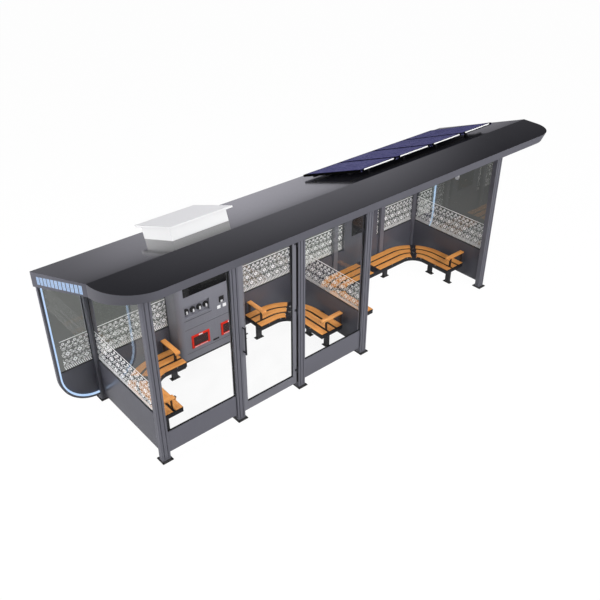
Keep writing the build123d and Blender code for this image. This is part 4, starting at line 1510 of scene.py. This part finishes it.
def flatGrey(level):
    return level, level, level, 1


def rampIn(tree, value, stops):
    # a smooth curve through (value, level) stops between -1 and 1
    ramp = addNode(tree, "ShaderNodeValToRGB", {0: remapIn(tree, value, -1.0, 1.0)})
    while len(ramp.color_ramp.elements) < len(stops):
        ramp.color_ramp.elements.new(0.5)
    for element, (position, level) in zip(ramp.color_ramp.elements, stops):
        element.position = (position + 1) / 2
        element.color = (level, level * 0.985, level * 1.09, 1)
    return ramp.outputs[0]


def glowIn(tree, colour, strength=1.0):
    return fromNode(tree, "ShaderNodeEmission", {"Color": colour, "Strength": strength})


def eitherIn(tree, factor, first, second):
    return fromNode(tree, "ShaderNodeMixShader", {0: factor, 1: first, 2: second})


def buildFloor():
    # white to the camera with a trace of the object's shadow, greys to mirrors and through glass
    material, tree, shader = newMaterial("studioFloor")
    tree.nodes.remove(shader)
    place = objectPlace(tree)
    grain = noiseIn(tree, place, 2.0, 2.0)
    cloth = mixIn(tree, grain, (0.42, 0.42, 0.43, 1), (0.46, 0.46, 0.47, 1))
    shaded = fromNode(tree, "ShaderNodeBsdfDiffuse", {"Color": cloth})
    white = glowIn(tree, flatGrey(1.0), studio["floorWhite"])
    rays = addNode(tree, "ShaderNodeLightPath").outputs
    whiteShare = mathIn(tree, "MULTIPLY", rays["Is Camera Ray"], 1 - studio["floorShadow"])
    seen = eitherIn(tree, whiteShare, shaded, white)
    along, across = axesOf(tree, place)[:2]
    heading = axesOf(tree, addNode(tree, "ShaderNodeNewGeometry").outputs["Incoming"])
    farLevel = rampIn(tree, mathIn(tree, "MULTIPLY", heading[0], -1.0), studio["farFloorMirror"])
    isFar = mathIn(tree, "GREATER_THAN", across, studio["farFloorFrom"])
    floorLevel = mixIn(tree, isFar, flatGrey(studio["floorMirror"]), farLevel)
    mirrored = eitherIn(tree, rays["Is Glossy Ray"], seen, glowIn(tree, floorLevel))
    behind = glowIn(tree, remapIn(tree, along, 2.0, 7.0, *studio["floorThroughGlass"]))
    through = eitherIn(tree, rays["Is Transmission Ray"], mirrored, behind)
    plugAll(tree, tree.nodes["Material Output"], {"Surface": through})

    def build(bm):
        bmesh.ops.create_circle(bm, cap_ends=True, radius=studio["floorSize"], segments=64)

    floor = newObject("studioFloorSheet", meshFrom("studioFloorSheet", build), material)
    floor.location.z = -studio["floorDrop"]


def buildWorld():
    world = bpy.data.worlds.new("studio")
    scene.world = world
    world.use_nodes = True
    tree = world.node_tree
    tree.nodes.clear()
    along, across, height = axesOf(tree, addNode(tree, "ShaderNodeTexCoord").outputs["Generated"])
    low = rampIn(tree, along, studio["lowMirror"])
    high = rampIn(tree, along, studio["highMirror"])
    behind = mixIn(tree, remapIn(tree, height, 0.28, 0.42), low, high)
    plain = flatGrey(studio["plain"])
    mirror = mixIn(tree, remapIn(tree, across, 0.0, 0.15), plain, behind)
    rays = addNode(tree, "ShaderNodeLightPath").outputs
    colour = mixIn(tree, rays["Is Glossy Ray"], plain, mirror)
    colour = mixIn(tree, rays["Is Transmission Ray"], colour, flatGrey(studio["worldThroughGlass"]))
    colour = mixIn(tree, rays["Is Camera Ray"], colour, flatGrey(1))
    background = fromNode(tree, "ShaderNodeBackground", {"Color": colour})
    addNode(tree, "ShaderNodeOutputWorld", {0: background})


def areaLight(name, place, target, size, power):
    data = bpy.data.lights.new(name, "AREA")
    data.shape = "RECTANGLE"
    data.size, data.size_y = size
    data.energy = power
    lamp = bpy.data.objects.new(name, data)
    scene.collection.objects.link(lamp)
    lamp.location = place
    lamp.rotation_euler = (Vector(target) - Vector(place)).to_track_quat("-Z", "Y").to_euler()
    lamp.visible_camera = False
    lamp.visible_glossy = False


buildFloor()
buildWorld()
for light in studio["lights"]:
    areaLight(*light)
print("lights", len(studio["lights"]))

cameraData = bpy.data.cameras.new("camera")
cameraData.lens = studio["lens"]
cameraData.sensor_width = studio["sensor"]
cameraData.clip_end = studio["farthest"]
cameraObject = bpy.data.objects.new("viewpoint", cameraData)
scene.collection.objects.link(cameraObject)
cameraObject.location = studio["cameraPlace"]
cameraObject.rotation_euler = [math.radians(turn) for turn in studio["cameraTurn"]]
scene.camera = cameraObject
scene.view_settings.view_transform = "Standard"
